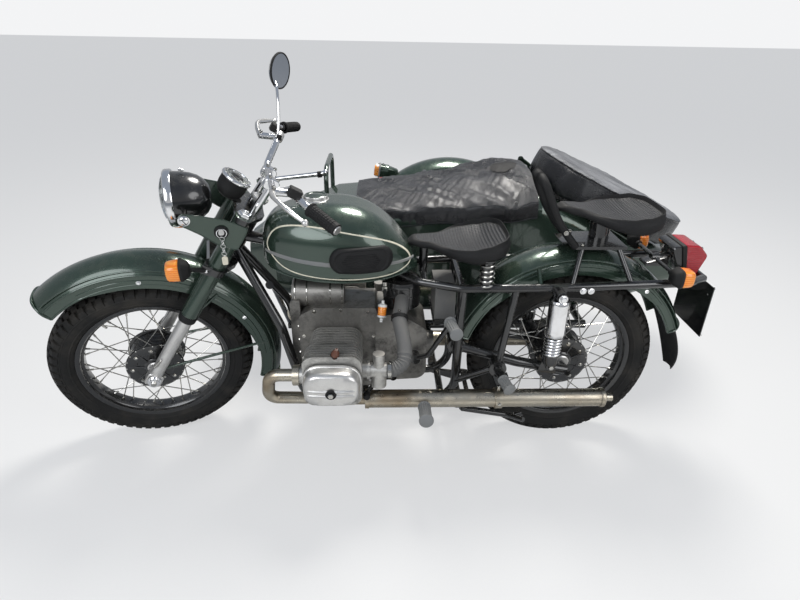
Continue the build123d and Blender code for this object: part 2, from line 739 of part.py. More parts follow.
def grips():
    way = (bar_end - bar_corner).normalized()
    start = bar_corner + way * 32
    grip = rod(start, bar_end + way * 8, 17) - rod(start - way * 5, bar_end, bar_radius)
    return both(grip)


def bar_mirror(bar_solid):
    stem = tube(
        [(-14, -205, bar_rise + 66), (-6, -226, bar_rise + 160), (56, -330, bar_rise + 200)], 5, [50])
    disc = Pos(60, -332, bar_rise + 240) * Rot(0, rake, 0) * Cylinder(58, 16, rotation=(0, 90, 0))
    return stem.fuse(disc) - bar_solid


def front_indicators(yoke_solid, leg_solids):
    lamps = []
    for side in (-1, 1):
        stalk = rod((56, side * (leg_y + 20), 496), (140, side * 160, 488), 7)
        lamp = Pos(150, side * 168, 486) * Rot(0, rake, 0) * Cylinder(31, 50, rotation=(0, 90, 0))
        lamps.append(stalk.fuse(lamp) - yoke_solid - leg_solids[0] - leg_solids[1])
    return lamps


# Sidecar; the body's stations give x, middle y, half width, low z, high z, low bend, high bend
body_stations = [
    (500, body_middle_y + 40, 96, 430, 590, 40, 70),
    (380, body_middle_y + 22, 186, 330, 668, 90, 110),
    (120, body_middle_y + 8, 252, 276, 752, 110, 90),
    (-360, body_middle_y, body_half_width, 262, 786, 110, 70),
    (-740, body_middle_y, body_half_width, 270, 820, 110, 80),
    (-940, body_middle_y, 268, 282, 738, 110, 80),
    (-1120, body_middle_y, 250, 300, 654, 100, 80),
    (-1400, body_middle_y, 190, 380, 532, 70, 60),
]
cockpit_front = -30
cockpit_rear = -690
cockpit_half = 214
bulkhead_x = -744
trunk_front = -775
trunk_rear = -1180
trunk_half = 215
trunk_corner = 30
hinge_x = -736
hinge_z = 880
hinge_half = 175


def hull_floor(x):
    """Height of the hull's underside at x, between two rows of the table."""
    for fore, aft in zip(body_stations, body_stations[1:]):
        if aft[0] <= x <= fore[0]:
            return fore[3] + (aft[3] - fore[3]) * (fore[0] - x) / (fore[0] - aft[0])


def body_outer():
    return loft_along_x(body_stations, ruled=True)


def body_skin(outer):
    """The hull hollowed into cockpit and boot, with a bulkhead between them."""
    last = len(body_stations) - 1
    ends = {0: -body_wall, last: body_wall}
    inner = [(row[0] + ends.get(number, 0), *row[1:]) for number, row in enumerate(body_stations)]
    slab = across(
        Pos(bulkhead_x, 545, 0) * Rectangle(body_wall, 700), body_middle_y - 400, body_middle_y + 400)
    return outer - (loft_along_x(inner, inset=body_wall, ruled=True) - slab)


def trunk_prism(grow):
    """Upright block over the boot's mouth."""
    middle = (trunk_front + trunk_rear) / 2
    outline = RectangleRounded(
        trunk_front - trunk_rear + 2 * grow, 2 * (trunk_half + grow), trunk_corner + grow)
    return extrude(Plane.XY.offset(500) * Pos(middle, body_middle_y, 0) * outline, amount=500)


def sidecar_body(skin):
    middle = (cockpit_front + cockpit_rear) / 2
    mouth = RectangleRounded(cockpit_front - cockpit_rear, cockpit_half * 2, 120)
    cockpit = extrude(Plane.XY.offset(600) * Pos(middle, body_middle_y, 0) * mouth, amount=500)
    ears = []
    for side in (-1, 1):
        y = body_middle_y + side * (hinge_half - 15)
        ears.append(across(side_view([(hinge_x - 16, 812), (hinge_x + 16, 812), (hinge_x + 12, hinge_z + 12),
                                      (hinge_x - 12, hinge_z + 12)], [3, 3, 11, 11]), y - 4, y + 4))
    pin_hole = rod(
        (hinge_x, body_middle_y - 240, hinge_z), (hinge_x, body_middle_y + 240, hinge_z), 6 + bearing_gap)
    return skin.fuse(*ears) - cockpit - trunk_prism(8) - pin_hole


def trunk_lid(skin):
    """The boot's lid, cut from the same skin, with hinge arms and the post of the spare wheel."""
    panel = skin & trunk_prism(0)
    arms = []
    for side in (-1, 1):
        y = body_middle_y + side * hinge_half
        arms.append(tube(
            [(trunk_front - 9, y, 802), (trunk_front - 9, y, 848), (hinge_x, y, hinge_z)], 9, [16]))
        arms.append(rod((hinge_x, y - side * 24, hinge_z), (hinge_x, y + side * 10, hinge_z), 6))
    normal = Vector(-sin(radians(spare_tilt)), 0, cos(radians(spare_tilt)))
    centre = Vector(spare_x, spare_y, spare_z)
    post = rod(centre - normal * (spare_half + 40), centre - normal * spare_half, 34)
    return panel.fuse(*arms, post)


def tonneau(outer):
    """Cover over the cockpit, drawn up over the seat back."""
    cover = loft_along_x([
        (8, body_middle_y + 4, 232, 740, 786, 5, 12),
        (-360, body_middle_y, 246, 750, 840, 5, 40),
        (-620, body_middle_y, 254, 760, 884, 5, 50),
        (-700, body_middle_y, 254, 770, 888, 5, 40),
    ])
    return cover - outer


spare_x = -1090
spare_y = body_middle_y
spare_z = 766
spare_tilt = 24
spare_radius = 348
spare_half = 66


def spare_wheel():
    disc = Cylinder(spare_radius, spare_half * 2)
    disc = fillet(disc.edges(), 34)
    return Pos(spare_x, spare_y, spare_z) * Rot(0, -spare_tilt, 0) * disc


side_fender_inner = 384
side_fender_half = 96
side_stay_angles = (25, 155)


def sidecar_fender():
    return place(
        arch(side_fender_inner, 474, side_fender_half, 16, 164), side_wheel_x, side_wheel_y, tyre_radius)


def sidecar_lamp(fender_solid):
    body = rod((-116, side_wheel_y, 742), (-60, side_wheel_y, 750), 34)
    foot = rod((-140, side_wheel_y, 690), (-100, side_wheel_y, 740), 14)
    return body.fuse(foot) - fender_solid


chassis_z = 226
chassis_inner = -430
chassis_outer = -1005
chassis_front = 336
chassis_crosses = (320, -345, -1000)
post_spread = 110
post_radius = 20


def sidecar_frame(frame_solid):
    """Ladder of tubes under the body, with its rubber-topped posts and four links to the motorcycle."""
    longs = [rod((chassis_front, y, chassis_z), (-1012, y, chassis_z), 19)
             for y in (chassis_inner, chassis_outer)]
    crosses = [rod((x, chassis_outer, chassis_z), (x, chassis_inner, chassis_z), 17)
               for x in chassis_crosses]
    posts = []
    for x in chassis_crosses:
        top = min(hull_floor(x - post_radius), hull_floor(x + post_radius)) - seat_gap
        for y in (body_middle_y - post_spread, body_middle_y + post_spread):
            posts.append(rod((x, y, chassis_z), (x, y, top), post_radius))
    lows = [rod((x, chassis_inner, chassis_z), (x, link_y, chassis_z), 16)
            for x in (link_front_x - 56, link_rear_x + 60)]
    up_front = rod((328, chassis_inner, chassis_z + 10), up_front_top - Vector(0, seat_gap, 0), 11)
    up_rear = rod((up_rear_x, chassis_inner, chassis_z + 10), (up_rear_x, -upper_half - 27, 668), 11)
    stays = []
    for angle in side_stay_angles:
        x = side_wheel_x + (side_fender_inner + 20) * cos(radians(angle))
        z = tyre_radius + (side_fender_inner + 20) * sin(radians(angle))
        stays.append(tube([(x, chassis_outer, chassis_z), (x, chassis_outer, z),
                           (x, side_wheel_y + side_fender_half + seat_gap, z)], 8, [16]))
    return longs[0].fuse(longs[1], *crosses, *lows, up_front, up_rear, *posts, *stays) - frame_solid


def sidecar_suspension():
    """Trailing arm on the outer tube, its stub axle and spring leg."""
    arm = tube([(-180, -1046, chassis_z), (-300, -1046, 252), (side_wheel_x, -1056, tyre_radius)], 18, [120])
    pivot = rod((-180, chassis_outer - 19 - seat_gap, chassis_z), (-180, -1066, chassis_z), 24)
    axle = rod(
        (side_wheel_x, -1050, tyre_radius), (side_wheel_x, side_wheel_y - 66, tyre_radius), axle_radius)
    leg = rod((side_wheel_x, -1020, 352), (side_wheel_x, -1006, 560), 24)
    foot = rod((side_wheel_x, -1056, tyre_radius), (side_wheel_x, -1012, 362), 12)
    return arm.fuse(pivot, axle, leg, foot)


def windscreen_rail(body_solid):
    """Hoop and side rail left on the nose for the sidecar's windscreen."""
    hoop = tube([(150, -850, 700), (150, -850, 900), (150, -540, 900), (150, -540, 700)], 10, [60, 60])
    rail = rod((150, -540, 880), (440, -560, 842), 8)
    return hoop.fuse(rail) - body_solid


tank_solid = tank()
frame_solid = frame(tank_solid)
engine_solid = engine()
fender_solid = rear_fender(frame_solid)
rider_solid = rider_saddle()
passenger_solid = passenger_saddle()
deck_solid = passenger_frame(frame_solid, fender_solid, passenger_solid)
outer = body_outer()
skin = body_skin(outer)
body_solid = sidecar_body(skin)
side_fender_solid = sidecar_fender()
leg_solids = fork_legs()
yoke_solid = yokes()
bar_solid = handlebar(yoke_solid)

nodes = {
    "frame": [frame_solid],
    "engine": [engine_solid],
    "cylinders": cylinders(),
    "head_covers": head_covers(),
    "carburettors": carburettors(),
    "intake": [intake()],
    "exhausts": both(exhaust()),
    "fuel_tank": [tank_solid],
    "knee_pads": knee_pads(tank_solid),
    "tank_cap": [tank_cap(tank_solid)],
    "rider_saddle": [rider_solid],
    "saddle_mounts": saddle_mounts(frame_solid, rider_solid),
    "passenger_saddle": [passenger_solid],
    "passenger_frame": [deck_solid],
    "grab_handle": [grab_handle(deck_solid)],
    "rear_fender": [fender_solid],
    "mud_flap": [mud_flap()],
    "rear_lamps": [rear_lamps()],
    "plate_bracket": [plate_bracket(frame_solid)],
    "swing_arm": [swing_arm()],
    "shocks": shocks(),
    "footrests": footrests(frame_solid),
    "foot_controls": foot_controls(engine_solid, frame_solid),
    "battery": [battery()],
    "centre_stand": [centre_stand()],
    "sidecar_body": [body_solid],
    "trunk_lid": [trunk_lid(skin)],
    "spare_wheel": [spare_wheel()],
    "tonneau": [tonneau(outer)],
    "sidecar_fender": [side_fender_solid],
    "sidecar_lamp": [sidecar_lamp(side_fender_solid)],
    "sidecar_frame": [sidecar_frame(frame_solid)],
    "sidecar_suspension": [sidecar_suspension()],
    "windscreen_rail": [windscreen_rail(body_solid)],
}

steering = {
    "yokes": [yoke_solid],
    "fork_legs": leg_solids,
    "front_axle": [front_axle()],
    "front_fender": [front_fender(leg_solids)],
    "headlamp": [headlamp()],
    "speedometer": [speedometer(yoke_solid)],
    "handlebar": [bar_solid],
    "grips": grips(),
    "bar_mirror": [bar_mirror(bar_solid)],
    "front_indicators": front_indicators(yoke_solid, leg_solids),
}
for name, pieces in steering.items():
    nodes[name] = [steered * piece for piece in pieces]

tyre_solid = wheel_tyre()
rim_solid = wheel_rim()
for name, hub in (
    ("front", steered * Pos(fork_offset, 0, 0)),
    ("rear", Pos(rear_axle_x, 0, tyre_radius)),
    ("sidecar", Pos(side_wheel_x, side_wheel_y, tyre_radius)),
):
    nodes[name + "_tyre"] = [hub * tyre_solid]
    nodes[name + "_rim"] = [hub * rim_solid]

# The origin goes to the middle of the footprint, on the ground
nodes = {name: Compound([solid for piece in pieces for solid in piece.solids()])
         for name, pieces in nodes.items()}
box = Compound(list(nodes.values())).bounding_box()
origin = Vector((box.min.X + box.max.X) / 2, (box.min.Y + box.max.Y) / 2, box.min.Z)
if __name__ == "__main__":
    os.makedirs("parts", exist_ok=True)
    for name, shape in nodes.items():
        export_step(Pos(-origin) * shape, f"parts/{name}.step")
    print("origin", origin, "size", box.size)
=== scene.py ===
import json
import math

import bmesh
import bpy
from mathutils import Matrix, Vector, noise
from mathutils.bvhtree import BVHTree


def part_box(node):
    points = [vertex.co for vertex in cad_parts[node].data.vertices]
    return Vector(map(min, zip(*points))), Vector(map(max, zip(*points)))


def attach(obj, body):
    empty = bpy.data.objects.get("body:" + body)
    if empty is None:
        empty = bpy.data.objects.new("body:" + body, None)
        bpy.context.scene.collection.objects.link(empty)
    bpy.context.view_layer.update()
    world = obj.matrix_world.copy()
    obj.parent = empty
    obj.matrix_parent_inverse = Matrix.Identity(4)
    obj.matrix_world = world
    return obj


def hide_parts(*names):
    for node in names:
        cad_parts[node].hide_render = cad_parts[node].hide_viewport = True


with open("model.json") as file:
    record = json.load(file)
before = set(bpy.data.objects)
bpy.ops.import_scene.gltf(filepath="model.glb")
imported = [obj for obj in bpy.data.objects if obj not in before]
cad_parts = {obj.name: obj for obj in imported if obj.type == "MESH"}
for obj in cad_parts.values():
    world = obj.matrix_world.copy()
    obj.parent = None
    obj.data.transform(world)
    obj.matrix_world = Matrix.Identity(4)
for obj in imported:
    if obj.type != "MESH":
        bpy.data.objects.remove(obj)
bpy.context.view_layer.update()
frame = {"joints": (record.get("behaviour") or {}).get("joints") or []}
scene = bpy.context.scene
joints = {joint["name"]: joint for joint in frame["joints"]}

# The machine's own zero: midway between the axles, in its middle plane, on the ground
machine = {"halfBase": 0.7425, "wheelRadius": 0.343, "rake": 32.5, "turned": 17, "axleAhead": 44,
           "sidecarWheelX": -435, "sidecarWheelY": -1140}
tyreLow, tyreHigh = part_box("rear_tyre")
zero = Vector(((tyreLow.x + tyreHigh.x) / 2 + machine["halfBase"], (tyreLow.y + tyreHigh.y) / 2, 0))
rake = math.radians(machine["rake"])
turned = math.radians(machine["turned"])
headWay = Vector((-math.sin(rake), 0, math.cos(rake)))
aheadWay = Vector((math.cos(rake) * math.cos(turned), math.sin(turned), math.sin(rake) * math.cos(turned)))
sideWay = headWay.cross(aheadWay)
headTurn = Matrix((aheadWay, sideWay, headWay)).transposed().to_4x4()
steered = Matrix.Translation(Vector(joints["steering"]["pos_m"])) @ headTurn


def at(x, y, z):
    # millimetres from the machine's zero
    return Vector((x, y, z)) / 1000 + zero


print("frame loaded")


class Sock:
    # one socket of a shader tree, which can stand in a sum
    def __init__(self, tree, out=None):
        self.tree = tree
        self.out = out

    def node(self, kind, settings=None, sockets=None, take=0):
        made = self.tree.nodes.new(kind)
        for key, value in (settings or {}).items():
            if key == "stops":
                ramp = made.color_ramp
                while len(ramp.elements) < len(value):
                    ramp.elements.new(0.5)
                for element, (place, shade) in zip(ramp.elements, value):
                    element.position = place
                    element.color = (*shade, 1)
            else:
                setattr(made, key, value)
        for key, value in (sockets or {}).items():
            if isinstance(value, Sock):
                self.tree.links.new(value.out, made.inputs[key])
            else:
                made.inputs[key].default_value = value
        return Sock(self.tree, made.outputs[take])

    def math(self, operation, first, second=0.0):
        return self.node("ShaderNodeMath", {"operation": operation}, {0: first, 1: second})

    def __add__(self, other):
        return self.math("ADD", self, other)

    def __radd__(self, other):
        return self.math("ADD", other, self)

    def __sub__(self, other):
        return self.math("SUBTRACT", self, other)

    def __rsub__(self, other):
        return self.math("SUBTRACT", other, self)

    def __mul__(self, other):
        return self.math("MULTIPLY", self, other)

    def __rmul__(self, other):
        return self.math("MULTIPLY", other, self)

    def step(self, low, high):
        return self.node("ShaderNodeMapRange", {"interpolation_type": "SMOOTHSTEP"},
                         {"Value": self, "From Min": low, "From Max": high})

    def place(self):
        return self.node("ShaderNodeTexCoord", take=3)

    def facing(self):
        # how far the surface looks up
        normal = self.node("ShaderNodeTexCoord", take=1)
        return self.node("ShaderNodeSeparateXYZ", sockets={0: normal}, take=2)

    def part(self, axis):
        return self.node("ShaderNodeSeparateXYZ", sockets={0: self.place()}, take="XYZ".index(axis))

    def cloud(self, scale, detail=4.0, rough=0.55):
        sockets = {"Vector": self.place(), "Scale": scale, "Detail": detail, "Roughness": rough}
        return self.node("ShaderNodeTexNoise", sockets=sockets)

    def cells(self, scale, feature="F1"):
        sockets = {"Vector": self.place(), "Scale": scale}
        return self.node("ShaderNodeTexVoronoi", {"feature": feature}, sockets)

    def mix(self, amount, first, second):
        return self.node("ShaderNodeMix", {"data_type": "RGBA"}, {0: amount, 6: first, 7: second}, take=2)

    def bump(self, height, strength, distance):
        sockets = {"Height": height, "Strength": strength, "Distance": distance}
        return self.node("ShaderNodeBump", sockets=sockets)


finishes = {}


def finish(name, fixed, draw):
    material = bpy.data.materials.new(name)
    material.use_nodes = True
    tree = material.node_tree
    shader = tree.nodes["Principled BSDF"]
    for key, value in fixed.items():
        shader.inputs[key].default_value = value
    for key, value in draw(Sock(tree)).items():
        tree.links.new(value.out, shader.inputs[key])
    finishes[name] = material
    return material


def rgb(r, g, b):
    return (r, g, b, 1)


def enamel(base, deep, dusty=0.14, ripple=0.02):
    # paint with a slow change of tone, fine ripple, and dust where it looks up
    def draw(s):
        dirt = (s.facing().step(0.2, 1.0) * s.cloud(38, 6).step(0.35, 0.75)) * dusty
        specks = s.cloud(420, 2).step(0.66, 0.72) * 0.35
        colour = s.mix(s.cloud(5, 2), base, deep)
        return {
            "Base Color": s.mix(dirt + specks * dirt, colour, rgb(0.19, 0.18, 0.155)),
            "Roughness": 0.22 + dirt * 0.5 + s.cloud(60, 3) * 0.05,
            "Coat Weight": 0.9 - dirt,
            "Normal": s.bump(s.cloud(90, 2), ripple, 0.001),
        }
    return draw


def casting(base, darkTone, rough, share):
    # cast metal with fine pits, stains, and a darker tone in patches towards the bottom of the machine
    def draw(s):
        pits = s.cloud(260, 5)
        stain = s.cloud(14, 6, 0.7).step(0.42, 0.72) * share
        # darker towards the bottom of the machine, in patches, added to the stains
        low = (1 - s.part("Z").step(0.25, 0.6)) * 0.35
        mask = stain + low * s.cloud(30, 4).step(0.3, 0.7)
        shaded = rgb(*[channel * 0.8 for channel in base[:3]])
        return {
            "Base Color": s.mix(mask, s.mix(pits, base, shaded), darkTone),
            "Roughness": rough + mask * 0.3 + pits * 0.08,
            "Metallic": 0.92 - mask * 0.7,
            "Normal": s.bump(pits + s.cloud(900, 2) * 0.6, 0.35, 0.0006),
        }
    return draw


def plated(base, haze, warm=None, dull=0.0):
    # plating with a film of dirt and small pits, browned where it runs hot
    def draw(s):
        film = s.cloud(24, 6, 0.65).step(0.4, 0.8)
        pits = s.cells(700).step(0.0, 0.12)
        colour = s.mix(film * 0.5, base, haze)
        if warm:
            colour = s.mix(s.cloud(7, 4).step(0.4, 0.75) * 0.75, colour, warm)
        return {
            "Base Color": colour,
            "Roughness": 0.07 + dull + film * 0.28 + (1 - pits) * 0.1,
            "Normal": s.bump(s.cloud(45, 2), 0.03, 0.001),
        }
    return draw


def rubber(base, worn, scale=220, strength=0.25, dusty=0.3):
    # rubber or moulding with a fine skin, chalked where it looks up
    def draw(s):
        skin = s.cloud(scale, 4)
        chalk = s.cloud(11, 5).step(0.4, 0.75) * dusty + s.facing().step(0.3, 1.0) * dusty * 0.5
        return {
            "Base Color": s.mix(chalk, base, worn),
            "Roughness": 0.55 + skin * 0.2 + chalk * 0.2,
            "Normal": s.bump(skin, strength, 0.0006),
        }
    return draw


def basketSeat(s):
    # raised diamonds of the moulded seat, faded by the sun on top
    x, y = s.part("X"), s.part("Y")
    first = s.math("SINE", (x + y) * 300)
    second = s.math("SINE", (x - y) * 300)
    knobs = (first * second).step(-0.3, 0.9)
    fade = s.facing().step(0.4, 1.0) * 0.5 + s.cloud(12, 4).step(0.4, 0.8) * 0.3
    return {
        "Base Color": s.mix(fade * 0.2 + knobs * 0.6, rgb(0.003, 0.003, 0.004), rgb(0.055, 0.057, 0.062)),
        "Roughness": 0.36 + s.cloud(80, 4) * 0.2,
        "Normal": s.bump(knobs + s.cloud(500, 3) * 0.08, 1.0, 0.0035),
    }


def vinyl(base, faded):
    # grained cover cloth, faded on top and scuffed
    def draw(s):
        grain = s.cells(420, "DISTANCE_TO_EDGE").step(0.0, 0.10)
        sun = s.facing().step(0.25, 0.95) * s.cloud(5, 3).step(0.25, 0.7)
        scuff = s.cloud(18, 6, 0.7).step(0.5, 0.75) * 0.4
        return {
            "Base Color": s.mix(sun * 0.85 + scuff * 0.3, base, faded),
            "Roughness": 0.24 + scuff * 0.3 + sun * 0.16,
            "Normal": s.bump(grain + s.cloud(30, 4) * 1.5, 0.4, 0.0009),
        }
    return draw


def lens(base, crestHighlight, ribs=900):
    # moulded ribs that run across the lens, with a painted highlight on each rib's crest
    def draw(s):
        wave = s.math("SINE", s.part("Z") * ribs)
        return {
            # the colour turns lighter on the crest of each rib: a painted highlight along the ribs
            "Base Color": s.mix(wave.step(-1, 1) * 0.5, base, crestHighlight),
            "Roughness": 0.12 + s.cloud(60, 3) * 0.12,
            "Normal": s.bump(wave, 0.4, 0.0008),
        }
    return draw


def clouded(base, second, scale, share, reach=None, detail=3):
    # a plain tone with clouds of a second one over it
    def draw(s):
        cloud = s.cloud(scale, detail)
        if reach:
            cloud = cloud.step(*reach)
        return {"Base Color": s.mix(cloud * share, base, second)}
    return draw


finish("greenEnamel", {"Metallic": 0.5, "Coat Roughness": 0.06},
       enamel(rgb(0.040, 0.066, 0.047), rgb(0.024, 0.044, 0.032)))
finish("blackEnamel", {"Coat Roughness": 0.08}, enamel(rgb(0.004, 0.004, 0.0045), rgb(0.008, 0.008, 0.008)))
finish("castAluminium", {}, casting(rgb(0.58, 0.57, 0.54), rgb(0.055, 0.046, 0.036), 0.36, 0.6))
# a darker copy of the cast metal, for the crankcase
finish("darkCasting", {}, casting(rgb(0.30, 0.29, 0.27), rgb(0.020, 0.017, 0.014), 0.38, 0.85))
finish("bareAluminium", {}, casting(rgb(0.74, 0.73, 0.71), rgb(0.2, 0.18, 0.15), 0.26, 0.2))
finish("chrome", {"Metallic": 1.0}, plated(rgb(0.86, 0.86, 0.87), rgb(0.55, 0.54, 0.5)))
finish("sootedChrome", {"Metallic": 1.0},
       plated(rgb(0.50, 0.46, 0.38), rgb(0.34, 0.29, 0.22), warm=rgb(0.27, 0.19, 0.11), dull=0.2))
finish("steelWire", {"Metallic": 1.0}, plated(rgb(0.50, 0.49, 0.46), rgb(0.24, 0.22, 0.19)))
finish("blackRubber", {"Specular IOR Level": 0.3},
       rubber(rgb(0.006, 0.006, 0.0065), rgb(0.045, 0.043, 0.04), dusty=0.12))
finish("greyRubber", {}, rubber(rgb(0.10, 0.10, 0.098), rgb(0.2, 0.19, 0.17)))
finish("tyreRubber", {"Specular IOR Level": 0.25},
       rubber(rgb(0.010, 0.0098, 0.0095), rgb(0.075, 0.066, 0.054), scale=300, strength=0.3))
finish("greyMoulding", {},
       rubber(rgb(0.16, 0.165, 0.165), rgb(0.27, 0.26, 0.24), scale=300, strength=0.1, dusty=0.4))
finish("blackPlastic", {"Specular IOR Level": 0.4},
       rubber(rgb(0.005, 0.005, 0.005), rgb(0.04, 0.04, 0.038), scale=500, strength=0.1, dusty=0.08))
finish("basketSeat", {"Specular IOR Level": 0.45}, basketSeat)
finish("coverVinyl", {}, vinyl(rgb(0.005, 0.0052, 0.0065), rgb(0.030, 0.031, 0.035)))
finish("sunVinyl", {}, vinyl(rgb(0.045, 0.047, 0.052), rgb(0.23, 0.235, 0.25)))
finish("orangeLens", {"Coat Weight": 0.6, "Subsurface Weight": 0.15},
       lens(rgb(0.78, 0.20, 0.015), rgb(0.95, 0.42, 0.06)))
finish("redLens", {"Coat Weight": 0.6, "Subsurface Weight": 0.15},
       lens(rgb(0.27, 0.003, 0.010), rgb(0.42, 0.008, 0.018)))
finish("whiteLens", {"Coat Weight": 0.5}, lens(rgb(0.62, 0.62, 0.60), rgb(0.8, 0.8, 0.78)))
finish("creamLine", {"Roughness": 0.35},
       clouded(rgb(0.66, 0.62, 0.5), rgb(0.42, 0.38, 0.3), 60, 0.5, reach=(0.4, 0.8), detail=4))
finish("dialWhite", {"Roughness": 0.4}, clouded(rgb(0.8, 0.8, 0.78), rgb(0.62, 0.61, 0.58), 80, 0.3))
finish("clearGlass", {"Roughness": 0.03, "Transmission Weight": 1.0, "IOR": 1.45},
       clouded(rgb(0.95, 0.97, 0.97), rgb(0.85, 0.86, 0.84), 40, 0.2))
finish("brownPlug", {"Roughness": 0.4}, clouded(rgb(0.14, 0.05, 0.025), rgb(0.08, 0.03, 0.02), 80, 1.0))
finish("mirrorGlass", {"Metallic": 1.0, "Roughness": 0.02},
       clouded(rgb(0.82, 0.83, 0.85), rgb(0.6, 0.6, 0.6), 30, 0.25, reach=(0.55, 0.8)))
print("finishes made")

bike = Matrix.Translation(zero) @ Matrix.Scale(0.001, 4)
fork = steered @ Matrix.Scale(0.001, 4)
sideOn = Matrix(((1, 0, 0, 0), (0, 0, 1, 0), (0, 1, 0, 0), (0, 0, 0, 1)))  # a drawing in XY stands up in XZ
axleWay = Matrix.Rotation(math.radians(-90), 4, "X")  # a lathe turns about Y


def quarter(axis, way=1):
    return Matrix.Rotation(math.radians(90 * way), 4, axis)


def onSide(point, side):
    # a point given for the left side, on the left (1) or the right (-1)
    x, y, z = point
    return Vector((x, side * y, z))


def aim(origin, along, base=bike, spin=0):
    # a place at the origin whose Z runs along the given way
    turn = Vector(along).to_track_quat("Z", "Y").to_matrix().to_4x4()
    return base @ Matrix.Translation(Vector(origin)) @ turn @ Matrix.Rotation(math.radians(spin), 4, "Z")


def smoothPath(points, fine=6, closed=False):
    points = [Vector(point) for point in points]
    if closed:
        around = [points[-1]] + points + points[:2]
    else:
        around = [points[0] * 2 - points[1]] + points + [points[-1] * 2 - points[-2]]
    path = []
    for a, b, c, d in zip(around, around[1:], around[2:], around[3:]):
        for step in range(fine):
            t = step / fine
            bend = (a * 2 - b * 5 + c * 4 - d) * t ** 2 + (b * 3 - a - c * 3 + d) * t ** 3
            path.append((b * 2 + (c - a) * t + bend) / 2)
    return path if closed else path + [points[-1]]


def circle(steps):
    return [(math.cos(2 * math.pi * n / steps), math.sin(2 * math.pi * n / steps)) for n in range(steps)]


class Form:
    # the faces of one piece, each with its finish
    def __init__(self):
        self.points = []
        self.faces = []
        self.skins = []
        self.names = []

    def add(self, points, faces, skin, base=bike):
        if skin not in self.names:
            self.names.append(skin)
        start = len(self.points)
        self.points.extend(base @ Vector(point) for point in points)
        self.faces.extend([start + i for i in face] for face in faces)
        self.skins.extend([self.names.index(skin)] * len(faces))
        return self

    def grid(self, rows, skin, base=bike, ring=False, loop=False):
        wide = len(rows[0])
        faces = []
        for r in range(len(rows) if loop else len(rows) - 1):
            for c in range(wide if ring else wide - 1):
                n = (r + 1) % len(rows)
                d = (c + 1) % wide
                faces.append((r * wide + c, r * wide + d, n * wide + d, n * wide + c))
        return self.add([point for row in rows for point in row], faces, skin, base)

    def cap(self, row, skin, base=bike):
        return self.add(row, [list(range(len(row)))], skin, base)

    def lathe(self, profile, skin, base=bike, steps=40, loop=False):
        rows = [[(radius * c, radius * s, height) for c, s in circle(steps)] for radius, height in profile]
        return self.grid(rows, skin, base, ring=True, loop=loop)

    def bar(self, start, end, radius, skin, base=bike, steps=20, tip=None, edge=1.0):
        start, end = Vector(start), Vector(end)
        long = (end - start).length
        tip = radius if tip is None else tip
        profile = [(0, 0), (radius - edge, 0), (radius, edge)]
        profile += [(tip, long - edge), (tip - edge, long), (0, long)]
        return self.lathe(profile, skin, aim(start, end - start, base), steps)

    def hose(self, points, radius, skin, base=bike, steps=12, fine=6, closed=False):
        path = smoothPath(points, fine, closed)
        last = len(path) - 1
        side = Vector((0.13, 0.21, 0.97))
        rows = []
        for number, here in enumerate(path):
            if closed:
                way = (path[(number + 1) % len(path)] - path[number - 1]).normalized()
            else:
                way = (path[min(number + 1, last)] - path[max(number - 1, 0)]).normalized()
            side = (side - way * side.dot(way)).normalized()
            other = way.cross(side)
            thick = radius(number / last) if callable(radius) else radius
            rows.append([here + (side * c + other * s) * thick for c, s in circle(steps)])
        self.grid(rows, skin, base, ring=True, loop=closed)
        if not closed:
            self.cap(rows[0], skin, base)
            self.cap(rows[-1], skin, base)
        return self

    def slab(self, outline, low, high, skin, base=bike, edge=1.5):
        middle = Vector((sum(x for x, y in outline), sum(y for x, y in outline))) / len(outline)
        rows = []
        for height, pull in ((low, edge), (low + edge, 0), (high - edge, 0), (high, edge)):
            row = []
            for point in outline:
                out = Vector(point) - middle
                row.append((*(middle + out * (1 - pull / max(out.length, pull + 1))), height))
            rows.append(row)
        self.grid(rows, skin, base, ring=True)
        return self.cap(rows[0], skin, base).cap(rows[-1], skin, base)

    def bolt(self, origin, along, size, skin="steelWire", base=bike):
        place = aim(origin, along, base)
        washer = ((0, 0), (1.35, 0), (1.35, 0.2), (0, 0.2))
        head = ((0, 0.2), (1, 0.2), (1, 0.8), (0.85, 0.95), (0, 0.95))
        self.lathe([(size * r, size * z) for r, z in washer], skin, place, 20)
        return self.lathe([(size * r, size * z) for r, z in head], skin, place, 6)

    def done(self, name, body, slot, stands=(), angle=35):
        mesh = bpy.data.meshes.new(name)
        mesh.from_pydata(self.points, [], self.faces)
        for skin in self.names:
            mesh.materials.append(finishes[skin])
        mesh.polygons.foreach_set("material_index", self.skins)
        shape = bmesh.new()
        shape.from_mesh(mesh)
        bmesh.ops.remove_doubles(shape, verts=shape.verts, dist=0.00003)
        bmesh.ops.recalc_face_normals(shape, faces=shape.faces)
        shape.to_mesh(mesh)
        shape.free()
        mesh.shade_smooth()
        mesh.set_sharp_from_angle(angle=math.radians(angle))
        piece = bpy.data.objects.new(name, mesh)
        scene.collection.objects.link(piece)
        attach(piece, body)
        if stands:
            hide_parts(*stands)
        return piece


def rounded(corners, radius, steps=5):
    # a drawing's corners, each turned into a short arc
    made = []
    count = len(corners)
    for number, corner in enumerate(corners):
        corner = Vector(corner)
        before = Vector(corners[number - 1]) - corner
        after = Vector(corners[(number + 1) % count]) - corner
        reach = min(radius, before.length * 0.48, after.length * 0.48)
        a = corner + before.normalized() * reach
        b = corner + after.normalized() * reach
        for step in range(steps + 1):
            t = step / steps
            made.append(a * (1 - t) ** 2 + corner * 2 * t * (1 - t) + b * t ** 2)
    return made


